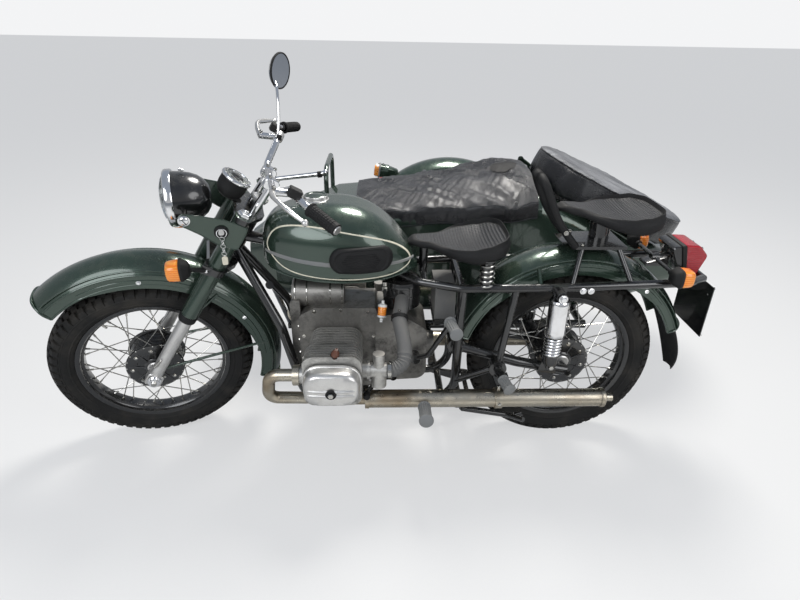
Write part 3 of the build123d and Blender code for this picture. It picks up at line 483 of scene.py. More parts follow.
# Camera, in the machine's frame: it looks down at the left side
view = {"place": (-73, 1714, 1458), "yaw": -2.40, "pitch": 27.34, "roll": 1.11, "focal": 544.9, "width": 800,
        "sensor": 36}
yaw, pitch, roll = (math.radians(view[key]) for key in ("yaw", "pitch", "roll"))
ahead = Matrix.Rotation(yaw, 3, "Z") @ Vector((0, -1, 0))
right = Matrix.Rotation(yaw, 3, "Z") @ Vector((-1, 0, 0))
lookWay = ahead * math.cos(pitch) - Vector((0, 0, 1)) * math.sin(pitch)
upWay = ahead * math.sin(pitch) + Vector((0, 0, 1)) * math.cos(pitch)
sideTurned = right * math.cos(roll) + upWay * math.sin(roll)
upTurned = upWay * math.cos(roll) - right * math.sin(roll)
lensData = bpy.data.cameras.new("viewer")
lensData.sensor_width = view["sensor"]
lensData.lens = view["focal"] * view["sensor"] / view["width"]
viewer = bpy.data.objects.new("viewer", lensData)
scene.collection.objects.link(viewer)
turn = Matrix((sideTurned, upTurned, -lookWay)).transposed().to_4x4()
viewer.matrix_world = Matrix.Translation(at(*view["place"])) @ turn
scene.camera = viewer
scene.view_settings.view_transform = "Standard"


# Floor and light
studio = {
    "high": rgb(0.55, 0.62, 0.74), "low": rgb(0.92, 0.93, 0.95), "level": 0.5,
    "seen": rgb(0.90, 0.905, 0.915), "pale": 0.6, "reach": 40,
    "floor": rgb(0.60, 0.60, 0.59), "floorGrain": rgb(0.66, 0.66, 0.65),
}
floorMesh = bpy.data.meshes.new("floor")
reach = studio["reach"]
corners = [(-reach, -reach, 0), (reach, -reach, 0), (reach, reach, 0), (-reach, reach, 0)]
floorMesh.from_pydata(corners, [], [(0, 1, 2, 3)])
floor = bpy.data.objects.new("floor", floorMesh)
scene.collection.objects.link(floor)


def floorSkin(s):
    grain = s.cloud(160, 6)
    tone = s.mix(grain, studio["floor"], studio["floorGrain"])
    return {"Base Color": tone, "Normal": s.bump(grain, 0.05, 0.001)}


floorMesh.materials.append(finish("paleFloor", {"Roughness": 0.9}, floorSkin))


def paleTo(tree, first, target, share):
    # what the camera sees directly turns towards a plain tone, which lights nothing
    seen = Sock(tree).node("ShaderNodeLightPath")
    plain = Sock(tree).node("ShaderNodeEmission", sockets={"Color": studio["seen"], "Strength": 1.0})
    blend = Sock(tree).node("ShaderNodeMixShader", sockets={0: seen * share, 1: Sock(tree, first), 2: plain})
    tree.links.new(blend.out, target.inputs["Surface"])


floorTree = finishes["paleFloor"].node_tree
floorShader = floorTree.nodes["Principled BSDF"]
paleTo(floorTree, floorShader.outputs[0], floorTree.nodes["Material Output"], studio["pale"])
world = bpy.data.worlds.new("studio")
scene.world = world
world.use_nodes = True
skyTree = world.node_tree
backdrop = skyTree.nodes["Background"]
backdrop.inputs["Strength"].default_value = studio["level"]
skyWay = Sock(skyTree).node("ShaderNodeTexCoord")
height = Sock(skyTree).node("ShaderNodeSeparateXYZ", sockets={0: skyWay}, take=2)
skyTone = height.mix(height.step(0.0, 0.7), studio["low"], studio["high"])
skyTree.links.new(skyTone.out, backdrop.inputs["Color"])
paleTo(skyTree, backdrop.outputs[0], skyTree.nodes["World Output"], 1.0)


def lamp(name, place, target, size, power, tone=(1, 1, 1)):
    data = bpy.data.lights.new(name, "AREA")
    data.shape = "DISK"
    data.size = size
    data.energy = power
    data.color = tone
    light = bpy.data.objects.new(name, data)
    light.location = at(*place)
    light.rotation_euler = (at(*place) - at(*target)).to_track_quat("Z", "Y").to_euler()
    scene.collection.objects.link(light)


lamp("sunSide", (-700, -1500, 3600), (-100, -300, 400), 1.2, 150, (1.0, 0.97, 0.92))
lamp("frontSoft", (1500, 2600, 2300), (0, -200, 500), 2.4, 60, (0.95, 0.97, 1.0))
lamp("rearSoft", (-2300, 1900, 1900), (-200, -200, 500), 2.0, 30)
print("camera and light placed")

# What each carried-over piece of the frame is finished in
coats = {
    "blackEnamel": ["frame", "saddle_mounts", "passenger_frame", "plate_bracket", "swing_arm", "footrests",
                    "foot_controls", "centre_stand", "sidecar_frame", "sidecar_suspension", "tank_cap",
                    "headlamp", "front_rim", "rear_rim", "sidecar_rim", "yokes"],
    "greenEnamel": ["fuel_tank", "rear_fender", "sidecar_body", "trunk_lid", "sidecar_fender",
                    "windscreen_rail", "fork_legs", "front_fender", "sidecar_lamp"],
    "castAluminium": ["cylinders", "carburettors"],
    "darkCasting": ["engine"],
    "bareAluminium": ["head_covers"],
    "sootedChrome": ["exhausts"],
    "chrome": ["shocks", "front_axle", "handlebar", "bar_mirror"],
    "blackRubber": ["knee_pads", "rider_saddle", "passenger_saddle", "grab_handle", "mud_flap", "grips"],
    "tyreRubber": ["front_tyre", "rear_tyre", "sidecar_tyre"],
    "coverVinyl": ["spare_wheel", "tonneau"],
    "blackPlastic": ["speedometer"],
    "greyRubber": ["battery"],
    "redLens": ["rear_lamps"],
    "orangeLens": ["front_indicators"],
}
for coat, names in coats.items():
    for name in names:
        node = bpy.data.objects[name]
        for index in range(len(node.material_slots)):
            node.material_slots[index].link = "OBJECT"
            node.material_slots[index].material = finishes[coat]
print("frame pieces finished")


def mirrored(line):
    # a half section (radius, y) carried over to the other side
    return line + [(r, -y) for r, y in reversed(line[:-1])]


def aroundAxle(radius, y, a):
    return Vector((radius * math.cos(a), y, radius * math.sin(a)))


# Tyres: a casing with moulded blocks, and lugs that run down on to the sides
tyre = {
    "crown": 343, "arc": 60, "deep": 8, "flare": 0.06, "pitches": 60, "steps": 120,
    "casing": [(256.5, 33), (259, 36.5), (264, 40), (269, 42.6), (270.5, 44.6), (273, 45.2), (275, 44.6),
               (283, 48), (291, 49.6), (296, 49.9), (297, 51), (299.5, 51.2), (301, 50), (308, 48.4),
               (313, 45.5), (316.5, 41), (322, 33), (329, 22), (334, 11), (336, 0)],
    "blocks": [((2, 8, 14.5), (0, 0.74)), ((18, 25, 32), (0.4, 1.08))],  # y across, pitches along
    "lugAlong": (0, 0.62), "lugTop": (35.5, 43), "lugFootY": 34.5,
    "lugSide": [(321, 48.6), (312, 51), (304, 51.4)],
    "lugFoot": [(317, 41), (312, 45), (306, 47.5), (303, 49)],
}


def crownAt(y):
    return tyre["crown"] - tyre["arc"] + math.sqrt(tyre["arc"] ** 2 - y * y)


lugTop = [(crownAt(y), y) for y in tyre["lugTop"]] + tyre["lugSide"]
lugFoot = [(lugTop[0][0] - tyre["deep"], tyre["lugFootY"])] + tyre["lugFoot"]


def block(form, top, foot, start, end, base):
    # one moulded block: (radius, y) along its top and its foot, between two angles
    spread = (end - start) * tyre["flare"]
    rows = []
    for line, a in ((foot, start - spread), (top, start), (top, end), (foot, end + spread)):
        rows.append([aroundAxle(r, y, a) for r, y in line])
    form.grid(rows, "tyreRubber", base)
    for last in (0, -1):
        form.cap([row[last] for row in rows], "tyreRubber", base)


def makeTyre(name, base, body, node):
    form = Form()
    form.lathe(mirrored(tyre["casing"]), "tyreRubber", base @ axleWay, tyre["steps"])
    pitch = 2 * math.pi / tyre["pitches"]
    for number in range(tyre["pitches"]):
        for side in (-1, 1):
            a = pitch * (number if side > 0 else number + 0.5)
            for across, (start, end) in tyre["blocks"]:
                top = [(crownAt(y), y * side) for y in across]
                foot = [(r - tyre["deep"], y) for r, y in top]
                block(form, top, foot, a + pitch * start, a + pitch * end, base)
            start, end = tyre["lugAlong"]
            top = [(r, y * side) for r, y in lugTop]
            foot = [(r, y * side) for r, y in lugFoot]
            block(form, top, foot, a + pitch * start, a + pitch * end, base)
    return form.done(name, body, "tyre", [node], 32)


# Laced wheels: black rims and hubs, steel spokes in nipples
wheel = {
    "steps": 96, "hubSteps": 64,
    "rim": [(257, 34), (255.5, 35.6), (252, 35.2), (249, 33.6), (243, 33), (241, 31.5), (239.5, 24),
            (236, 20.5), (230, 16), (228, 0)],
    "rimBack": [(231, 0), (232.5, 14), (240, 20), (242.5, 28.5), (252, 29.5), (256, 30.4)],
    "hub": [(10.6, 54), (30, 54), (34, 52), (38, 49), (60, 48.6), (62, 50.5), (90, 50.5), (96, 49),
            (98, 46), (98, 43), (95, 40.8)],
    "barrel": 84, "ring": 90, "ringPlaces": range(-36, 37, 8),
    "cap": [(0, 0), (26, 0), (26, 5), (22, 8), (0, 8)],
    "face": 50.5, "bolts": 8, "boltRing": 76, "firstBolt": 12, "boltSize": 5,
    "web": (34, 86), "webThick": 2.6, "webTurn": 0.2,
    "spokes": 40, "lead": 36, "spoke": 1.9, "root": 94, "rootSide": 44.5, "tip": 229, "tipSide": 5,
    "spokeHead": 2.8, "nipple": 3.3, "nippleLong": 15,
    "valve": (236, 205), "valveWay": (0.94, 0, 0.342), "valveThick": 4,
}


def makeHub(form, base, plateSide):
    barrel = []
    for y in wheel["ringPlaces"]:  # cooling rings round the hub
        barrel += [(wheel["barrel"], y - 3), (wheel["ring"], y - 1.4)]
        barrel += [(wheel["ring"], y + 1.4), (wheel["barrel"], y + 3)]
    around = [(r, -y) for r, y in wheel["hub"]] + barrel + list(reversed(wheel["hub"]))
    form.lathe(around, "blackEnamel", base @ axleWay, wheel["hubSteps"])
    face = plateSide * wheel["face"]
    outward = (0, plateSide, 0)
    form.lathe(wheel["cap"], "bareAluminium", aim((0, face, 0), outward, base), 32)
    for number in range(wheel["bolts"]):
        a = math.radians(360 / wheel["bolts"] * number + wheel["firstBolt"])
        form.bolt(aroundAxle(wheel["boltRing"], face, a), outward, wheel["boltSize"], "steelWire", base)
        start, end = (aroundAxle(r, face - plateSide, a + wheel["webTurn"]) for r in wheel["web"])
        form.bar(start, end, wheel["webThick"], "blackEnamel", base, 10)


def makeWheel(name, base, body, node, plateSide):
    form = Form()
    back = wheel["rimBack"]
    around = mirrored(wheel["rim"]) + [(r, -y) for r, y in reversed(back[1:])] + back
    form.lathe(around, "blackEnamel", base @ axleWay, wheel["steps"], loop=True)
    makeHub(form, base, plateSide)
    for number in range(wheel["spokes"]):
        side = 1 if number % 2 else -1
        lead = math.radians(wheel["lead"] if number // 2 % 2 else -wheel["lead"])
        a = 2 * math.pi * number / wheel["spokes"]
        start = aroundAxle(wheel["root"], side * wheel["rootSide"], a + lead)
        end = aroundAxle(wheel["tip"], side * wheel["tipSide"], a)
        way = (end - start).normalized()
        outward = Vector((0, side, 0))
        form.bar(start, end, wheel["spoke"], "steelWire", base, 8, edge=0.4)
        form.bar(start + outward * 6, start - outward * 2, wheel["spokeHead"], "steelWire", base, 8, edge=0.5)
        form.bar(end - way * wheel["nippleLong"], end + way, wheel["nipple"], "steelWire", base, 8, edge=0.6)
    foot, tip = (Vector(wheel["valveWay"]) * r for r in wheel["valve"])
    form.bar(foot, tip, wheel["valveThick"], "steelWire", base, 10)
    return form.done(name, body, "black_wheel", [node], 35)


axleHigh = machine["wheelRadius"] * 1000
wheelPlaces = {
    "front": fork @ Matrix.Translation((machine["axleAhead"], 0, 0)),
    "rear": bike @ Matrix.Translation((-machine["halfBase"] * 1000, 0, axleHigh)),
    "sidecar": bike @ Matrix.Translation((machine["sidecarWheelX"], machine["sidecarWheelY"], axleHigh)),
}
for name, base in wheelPlaces.items():
    makeTyre(name + "TyreTread", base, name + "_wheel", name + "_tyre")
    makeWheel(name + "Wheel", base, name + "_wheel", name + "_rim", -1 if name == "sidecar" else 1)
print("wheels laced")


# Fender trim: rolled edge, pressed line, hanging panel and its bolts
fenders = {
    "front": {"body": "steering", "inner": 372, "crown": 448, "side": 73, "start": 16, "end": 163,
              "panel": (34, 146), "drop": 16, "bolts": (62, 118)},
    "rear": {"body": "chassis", "inner": 378, "crown": 440, "side": 84, "start": 18, "end": 158,
             "panel": (36, 140), "drop": 14, "bolts": (52, 128)},
    "sidecar": {"body": "chassis", "inner": 384, "crown": 474, "side": 96, "start": 16, "end": 164,
                "panel": (40, 140), "drop": 10, "bolts": (60, 120)},
}
fenderLines = {"cheek": 0.55, "shoulder": 0.62, "steps": 40, "panelSteps": 44, "panelTop": 17, "boltIn": 8}


def arcRow(radius, y, first, last, count):
    return [aroundAxle(radius, y, math.radians(first + (last - first) * n / count)) for n in range(count + 1)]


def hangingPanel(form, base, fender, way):
    count = fenderLines["panelSteps"]
    first, last = fender["panel"]
    side = fender["side"]
    high = fender["inner"] + fenderLines["panelTop"]
    rows = []
    for n in range(count + 1):
        t = n / count
        a = math.radians(first + (last - first) * t)
        fade = math.sqrt(max(0.0, 1 - abs(2 * t - 1) ** 5))
        low = high - 8 - (fender["drop"] + 9) * fade
        section = ((high, side + 0.6), (high - 1.5, side + 2.4), (low + 1.5, side + 2.4), (low, side + 0.6),
                   (low + 1, side - 3))
        rows.append([aroundAxle(r, y * way, a) for r, y in section])
    form.grid(rows, "greenEnamel", base)


def fenderTrim(name, base, fender):
    form = Form()
    inner, crown, side = fender["inner"], fender["crown"], fender["side"]
    start, end = fender["start"], fender["end"]
    cheek = crown - (crown - inner) * fenderLines["cheek"]
    pressed = cheek + (crown - cheek) * 0.34
    for way in (-1, 1):
        lines = ((inner, 1, 0, 4.2), (cheek - 1, 0.4, 1, 3.4), (pressed, 3.5, 2, 2.6))
        for radius, back, short, thick in lines:
            line = arcRow(radius, way * (side - back), start + short, end - short, fenderLines["steps"])
            form.hose(line, thick, "greenEnamel", base, 8, 2)
        hangingPanel(form, base, fender, way)
        for angle in fender["bolts"]:
            spot = aroundAxle(inner + fenderLines["boltIn"], way * (side + 2), math.radians(angle))
            form.bolt(spot, (0, way, 0), 5.5, "chrome", base)
    half = [(inner, side), (cheek, side), (crown - 8, side * fenderLines["shoulder"]), (crown, 0)]
    for angle in (start, end):
        lip = [aroundAxle(r, -y, math.radians(angle)) for r, y in mirrored(half)]
        form.hose(lip, 3.6, "greenEnamel", base, 8, 4)
    return form.done(name + "FenderTrim", fender["body"], "green_paint")


for name, fender in fenders.items():
    fenderTrim(name, wheelPlaces[name], fender)
print("fenders trimmed")


def skinOf(name):
    # a node's faces, for looks from outside
    mesh = bpy.data.objects[name].data
    return BVHTree.FromPolygons([v.co[:] for v in mesh.vertices], [p.vertices[:] for p in mesh.polygons])


def screwOn(form, skin, start, outward, size):
    # a screw where a straight look from the start meets a skin that faces it
    hit, normal = skin.ray_cast(at(*start), -Vector(outward))[:2]
    if hit is not None and abs(normal.dot(Vector(outward))) > 0.7:
        form.bolt((hit - zero) * 1000, outward, size)


def oblong(halfWide, halfHigh, radius):
    corners = [(-halfWide, -halfHigh), (halfWide, -halfHigh), (halfWide, halfHigh), (-halfWide, halfHigh)]
    return rounded(corners, radius)


def sideView(points):
    # a drawing of X and Z, as points
    return [(x, 0, z) for x, z in points]


# Tank: cream lines laid on its skin, a dull spear along each side, ribbed knee pads, knurled cap
tankSkin = skinOf("fuel_tank")
tankTrim = {
    "outline": [(284, 816), (257, 866), (205, 887), (120, 888), (20, 872), (-60, 852), (-118, 826),
                (-160, 790), (-172, 760), (-150, 740), (-97, 727), (40, 723), (150, 731), (222, 748),
                (264, 778)],
    "line": ((-2.0, 0.1), (-1.4, 0.9), (1.4, 0.9), (2.0, 0.1)),  # across, proud of the skin
    "spear": [(292, 792), (246, 788), (173, 780), (93, 774), (0, 770), (-112, 766), (-182, 764)],
    "spearLine": ((-1, 0.1), (-0.75, 2.4), (0, 3.4), (0.75, 2.4), (1, 0.1)),
    "spearThin": 2.5, "spearSwell": 5.0,
    "flange": [(286, 742), (210, 722), (100, 712), (0, 712), (-110, 718), (-176, 732)], "flangeThick": 2.8,
    "outside": 400, "near": 130,
}


def onTank(x, z, side, proud):
    # where a line of sight from the side meets the tank
    hit, normal = tankSkin.ray_cast(at(x, side * tankTrim["outside"], z), Vector((0, -side, 0)))[:2]
    if hit is None:
        hit, normal = tankSkin.find_nearest(at(x, side * tankTrim["near"], z))[:2]
    if normal.dot(Vector((0, side, 0.3))) < 0:
        normal = -normal
    return (hit + normal * proud / 1000 - zero) * 1000


def makeTankLines():
    form = Form()
    loop = smoothPath(sideView(tankTrim["outline"]), 8, True)
    for side in (-1, 1):
        rows = []
        for number, spot in enumerate(loop):
            way = (loop[(number + 1) % len(loop)] - loop[number - 1]).normalized()
            rows.append([onTank(spot.x - way.z * offset, spot.z + way.x * offset, side, proud)
                         for offset, proud in tankTrim["line"]])
        form.grid(rows, "creamLine", loop=True)
    form.done("tankLines", "chassis", "green_paint")


def makeTankSpears():
    form = Form()
    spear = smoothPath(sideView(tankTrim["spear"]), 8)
    flange = smoothPath(sideView(tankTrim["flange"]), 8)
    for side in (-1, 1):
        rows = []
        for number, spot in enumerate(spear):
            t = number / (len(spear) - 1)
            full = math.sin(math.pi * min(1, t * 0.9 + 0.06)) ** 0.6
            wide = tankTrim["spearThin"] + tankTrim["spearSwell"] * full
            rows.append([onTank(spot.x, spot.z + share * wide, side, proud)
                         for share, proud in tankTrim["spearLine"]])
        form.grid(rows, "greyMoulding")
        edge = [onTank(spot.x, spot.z, side, 1.5) for spot in flange]
        form.hose(edge, tankTrim["flangeThick"], "greenEnamel", fine=2, steps=8)
    form.done("tankSpears", "chassis", "grey_rubber")


kneePad = {
    "x": -14, "z": 790, "long": 190, "high": 84, "steps": 72, "sunk": 2,
    "rings": ((1.0, 0), (1.015, 6), (1.0, 13), (0.94, 18), (0.84, 20), (0.80, 17.5), (0.76, 17.5), (0.7, 19),
              (0.35, 21), (0.02, 21.5)),  # share of the outline, proud of the tank
    "ribs": 7, "ribGap": 7, "ribHalf": 56, "ribShorter": 5, "ribProud": 18.4, "ribThick": 1.7, "ribSteps": 12,
}


def makeKneePads():
    form = Form()
    end = kneePad["high"] / 2
    straight = kneePad["long"] / 2 - end
    for side in (-1, 1):
        rows = []
        for share, proud in kneePad["rings"]:
            row = []
            for c, s in circle(kneePad["steps"]):
                flat = straight * (1 if c > 0 else -1) * min(1, abs(c) * 3)
                x, z = kneePad["x"] + (flat + c * end) * share, kneePad["z"] + s * end * share
                row.append(onTank(x, z, side, proud - kneePad["sunk"]))
            rows.append(row)
        form.grid(rows, "blackRubber", ring=True)
        middle = kneePad["ribs"] // 2
        for rib in range(-middle, middle + 1):
            reach = kneePad["ribHalf"] - abs(rib) * kneePad["ribShorter"]
            z = kneePad["z"] + rib * kneePad["ribGap"]
            count = kneePad["ribSteps"]
            path = [onTank(kneePad["x"] + reach * (2 * n / count - 1), z, side, kneePad["ribProud"])
                    for n in range(count + 1)]
            form.hose(path, kneePad["ribThick"], "blackRubber", fine=2, steps=8)
    return form.done("kneePadPair", "chassis", "black_rubber", ["knee_pads"], 40)


fillerCap = {
    "place": (132, 0, 936), "teeth": 48, "tooth": 1.3,
    "knurl": ((2, 33), (3, 37.4), (12, 38), (15, 36.5)),  # height, radius
    "crown": [(36.5, 15), (34, 16.5), (31, 16.2), (29, 14.4), (26, 14.6), (14, 17.2), (6, 18.4), (0, 18.6)],
    "neck": [(44, -1.5), (43.5, 1), (41, 3), (33, 3.4)],
    "hinge": ((160, -12, 938), (160, 12, 938)), "hingeThick": 4,
    "catch": (172, 0, 928), "catchHigh": 12,
}


def makeFillerCap():
    form = Form()
    place = bike @ Matrix.Translation(fillerCap["place"])
    rows = []
    for height, radius in fillerCap["knurl"]:
        row = []
        for n, (c, s) in enumerate(circle(2 * fillerCap["teeth"])):
            r = radius - (fillerCap["tooth"] if n % 2 and height > 2 else 0)
            row.append((c * r, s * r, height))
        rows.append(row)
    form.grid(rows, "bareAluminium", place, ring=True)
    form.lathe(fillerCap["crown"], "greenEnamel", place, 64)
    form.lathe(fillerCap["neck"], "bareAluminium", place, 64)
    form.bar(*fillerCap["hinge"], fillerCap["hingeThick"], "chrome")
    catch = bike @ Matrix.Translation(fillerCap["catch"])
    form.slab(oblong(6, 9, 3), 0, fillerCap["catchHigh"], "blackPlastic", catch)
    form.done("fillerCap", "chassis", "black_paint", ["tank_cap"])


makeTankLines()
makeTankSpears()
makeKneePads()
makeFillerCap()
print("tank trimmed")


def between(low, high, value):
    return max(low, min(high, value))


def eased(a, b, x):
    # a smooth way from one stop (x, height) of a profile to the next
    t = between(0.0, 1.0, (x - a[0]) / (b[0] - a[0]))
    t = t * t * (3 - 2 * t)
    return a[1] + (b[1] - a[1]) * t


# Saddles: woven moulded tops over a turned rim
saddle = {
    "outline": [(164, 0), (158, 24), (134, 38), (96, 50), (52, 82), (8, 120), (-44, 140), (-92, 138),
                (-134, 120), (-158, 84), (-164, 40)],
    "profile": [(-166, 30), (-130, 24), (-80, 12), (-30, 5), (40, 3), (110, 9), (150, 13), (166, 9)],
    "half": 140, "middle": -48, "rim": 15, "rimAt": 0.957, "rimWide": 0.026, "lip": 7, "thick": 5,
    "shares": (0.001, 0.12, 0.24, 0.36, 0.48, 0.6, 0.7, 0.78, 0.84, 0.89, 0.905, 0.92, 0.935, 0.95, 0.965,
               0.98, 0.99, 1.0),
    "wovenRows": 10,
    "skirt": ((1.018, 5), (1.022, 14), (1.014, 27), (0.99, 34), (0.965, 37), (0.6, 44), (0.001, 44)),
}
saddles = {
    "riderSaddle": {"node": "rider_saddle", "place": (-334, 0, 796), "tilt": 1, "half": 142, "hollow": 22},
    "passengerSaddle": {"node": "passenger_saddle", "place": (-822, 0, 900), "tilt": -5, "half": 140,
                        "hollow": 11},
}


def saddleHeight(x):
    stops = saddle["profile"]
    for a, b in zip(stops, stops[1:]):
        if x <= b[0]:
            return eased(a, b, x)
    return stops[-1][1]


def saddleRing(ring, share, scale):
    middle = Vector((saddle["middle"], 0, 0))
    return [(spot, middle + (Vector((spot.x, spot.y * scale, 0)) - middle) * share) for spot in ring]


def makeSaddle(name, seat):
    form = Form()
    place = bike @ Matrix.Translation(seat["place"]) @ Matrix.Rotation(math.radians(seat["tilt"]), 4, "Y")
    outline = [(x, y, 0) for x, y in saddle["outline"]]
    ring = smoothPath(outline + [(x, -y, 0) for x, y, z in reversed(outline[1:])], 8, True)
    scale = seat["half"] / saddle["half"]
    top = []
    for share in saddle["shares"]:
        row = []
        for spot, here in saddleRing(ring, share, scale):
            back = between(0.0, 1.0, (60 - spot.x) / 130)
            deep = between(0.0, 1.0, (90 - here.x) / 150)
            raised = saddle["rim"] * back * math.exp(-((share - saddle["rimAt"]) / saddle["rimWide"]) ** 4)
            dish = -seat["hollow"] * deep * (1 - share ** 2)
            roll = -saddle["lip"] * max(0.0, (share - 0.9) / 0.1) ** 2
            row.append((here.x, here.y, saddleHeight(here.x) + dish + raised + roll + saddle["thick"]))
        top.append(row)
    woven = saddle["wovenRows"]
    form.grid(top[:woven], "basketSeat", place, ring=True)
    form.grid(top[woven - 1:], "blackRubber", place, ring=True)
    skirt = [top[-1]]
    for grow, drop in saddle["skirt"]:
        row = []
        for spot, here in saddleRing(ring, grow, scale):
            back = 0.45 + 0.55 * between(0.0, 1.0, (90 - spot.x) / 160)
            row.append((here.x, here.y, saddleHeight(between(-164, 164, here.x)) - 2 - drop * back))
        skirt.append(row)
    form.grid(skirt, "blackRubber", place, ring=True)
    return form.done(name, "chassis", "black_rubber", [seat["node"]], 50)


for name, seat in saddles.items():
    makeSaddle(name, seat)
print("saddles made")

# Cockpit cover: one sheet drawn over the seat back, its near edge turned down over the hull
cover = {
    "front": 26, "rear": -716, "middle": -690, "countU": 150, "countV": 120, "lap": 0.86, "hang": 62,
    "ridge": [(30, 778), (-40, 788), (-160, 800), (-320, 822), (-470, 856), (-600, 884), (-680, 894),
              (-716, 888)],
    "rimHigh": [(30, 742), (-120, 750), (-360, 772), (-560, 790), (-716, 803)],
    "rimHalf": [(30, 236), (-120, 252), (-360, 268), (-560, 274), (-716, 274)],
    "swell": 44, "swellX": -585, "swellLong": 125,
    "slack": 15, "crease": 7, "fine": 3.2, "pull": 2.6,
    "edgeThick": 2.6, "edgeSteps": 60,
    "fasteners": ((0.14, "redLens"), (0.42, "steelWire"), (0.66, "steelWire")),
    "fastener": [(9, 0), (9, 2), (5, 4), (0, 4)],
    "patch": (0.86, 0.1), "patchLong": 0.075, "patchWide": 0.16, "patchRings": (1.0, 0.96, 0.6, 0.3, 0.001),
}


def coverTable(table, x):
    for a, b in zip(table, table[1:]):
        if x >= b[0]:
            return eased(a, b, x)
    return table[-1][1]


def coverPoint(u, v):
    # u runs from front to back, v from the near edge (1) to the far one (-1)
    x = cover["front"] + (cover["rear"] - cover["front"]) * u
    high, low, wide = (coverTable(cover[key], x) for key in ("ridge", "rimHigh", "rimHalf"))
    t = abs(v) / cover["lap"]
    if t <= 1:
        y = wide * t
        z = low + 4 + (high - low) * (1 - t ** 2.6) ** 0.8
    else:
        down = (t - 1) / (1 / cover["lap"] - 1)
        y = wide + 8 * math.sin(down * 1.4)
        z = low + 4 - cover["hang"] * down
    way = 1 if v > 0 else -1
    swell = 0
    if v > 0:  # the seat's back pushes the cover out on the near side
        along = math.exp(-((x - cover["swellX"]) / cover["swellLong"]) ** 2)
        swell = cover["swell"] * along * max(0, math.sin(math.pi * min(1, max(0, t - 0.35) / 0.95)))
    spot = Vector((x, cover["middle"] + way * (y + swell), z - swell * 0.35))
    side = y * way
    slack = noise.noise(Vector((x * 0.006, side * 0.010 + x * 0.004, 3.1)))
    crease = 1 - abs(noise.noise(Vector((x * 0.010 + side * 0.012, (x - side) * 0.0035, 7.7))) * 2)
    fine = 1 - abs(noise.noise(Vector((x * 0.03 - side * 0.018, side * 0.012, 1.3))) * 2)
    pull = math.sin((x * 0.55 + side * 1.25) * 0.030 + slack * 3)
    loose = slack * cover["slack"] + crease * cover["crease"] - 4
    loose += fine * cover["fine"] + pull * cover["pull"]
    spot.z += min(1, u * 6, (1 - u) * 9) * loose * (1 if t <= 1 else 0.25)
    if t > 0.9:
        spot.y += way * (fine * 3 + max(0, crease) * 4) * min(1, (t - 0.9) * 6)
    return spot


def makeCover():
    form = Form()
    countU, countV = cover["countU"], cover["countV"]
    rows = []
    for n in range(countU + 1):
        rows.append([coverPoint(n / countU, 1 - 2 * m / countV) for m in range(countV + 1)])
    form.grid(rows, "coverVinyl")
    return form.done("cockpitCover", "chassis", "vinyl", ["tonneau"], 80)


def makeCoverEdging():
    form = Form()
    count = cover["edgeSteps"]
    for v in (1, -1):
        line = [coverPoint(n / count, v) + Vector((0, v, 0)) for n in range(count + 1)]
        form.hose(line, cover["edgeThick"], "coverVinyl", fine=2, steps=8)
    for u, skin in cover["fasteners"]:
        form.lathe(cover["fastener"], skin, aim(coverPoint(u, -0.6), (0, 0, 1)), 20)
    u, v = cover["patch"]
    patch = []
    for share in cover["patchRings"]:
        lift = Vector((0, 0, 2.2 + 1.2 * (1 - share)))
        long, wide = cover["patchLong"] * share, cover["patchWide"] * share
        patch.append([coverPoint(u + long * c, v + wide * s) + lift for c, s in circle(40)])
    form.grid(patch, "blackRubber", ring=True)
    form.done("coverEdging", "chassis", "vinyl")


makeCover()
makeCoverEdging()
print("cockpit covered")

# Spare wheel cover: sun-greyed top, piped seam, black wall with a gathered hem
spare = {
    "centre": (-1090, -690, 766), "tilt": 24, "radius": 350, "half": 66, "steps": 168,
    "top": (0.001, 0.1, 0.2, 0.3, 0.4, 0.5, 0.6, 0.7, 0.78, 0.85, 0.9, 0.94, 0.97, 0.99),
    "wall": ((0.99, 48, 0), (1.0, 42, 1), (1.003, 28, 1.5), (1.004, 8, 2), (1.004, -14, 2.5), (1.0, -36, 3.5),
             (0.992, -52, 4.5), (0.975, -62, 5), (0.955, -66, 4), (0.93, -66, 2)),  # share, height, fold
    "puckers": 42, "folds": 30, "hems": 16, "seam": 3.4,
    "back": ((1.03, -60), (1.0, -66), (0.78, -64), (0.74, -52), (0.3, -50), (0.001, -50)), "backShare": 0.9,
}
spareTilt = Matrix.Rotation(math.radians(-spare["tilt"]), 4, "Y")
sparePlace = bike @ Matrix.Translation(spare["centre"]) @ spareTilt
spareTurns = [2 * math.pi * n / spare["steps"] for n in range(spare["steps"])]


def ruffle(a, scale, seed):
    return noise.noise(Vector((math.cos(a) * scale, math.sin(a) * scale, seed)))


def spareTopPoint(share, a):
    x, y = spare["radius"] * share * math.cos(a), spare["radius"] * share * math.sin(a)
    dent = noise.noise(Vector((x * 0.007, y * 0.012, 5))) * 6
    dent -= abs(noise.noise(Vector((x * 0.004 + y * 0.012, y * 0.003, 9)))) * 8
    pucker = (math.sin(a * spare["puckers"]) * 0.9 + ruffle(a, 9, 2) * 3) * max(0, share - 0.7) / 0.3
    drop = 17 * max(0, (share - 0.86) / 0.14) ** 2.2
    height = spare["half"] + 1 + dent * min(1, (1 - share) * 5) + pucker - drop - 5 * (1 - share)
    return (x, y, height)


def spareWallPoint(share, z, swell, a):
    fold = ruffle(a, 5, 4) * 2 + math.sin(a * spare["folds"] + ruffle(a, 3, 8) * 4) * 0.8
    hem = math.sin(a * spare["hems"]) * max(0, -z - 30) / 36 * 3.2
    r = spare["radius"] * share + fold * swell / 2 - 3
    return (r * math.cos(a), r * math.sin(a), z + hem)


spareTop = [[spareTopPoint(share, a) for a in spareTurns] for share in spare["top"]]
spareWall = [[spareWallPoint(*ring, a) for a in spareTurns] for ring in spare["wall"]]


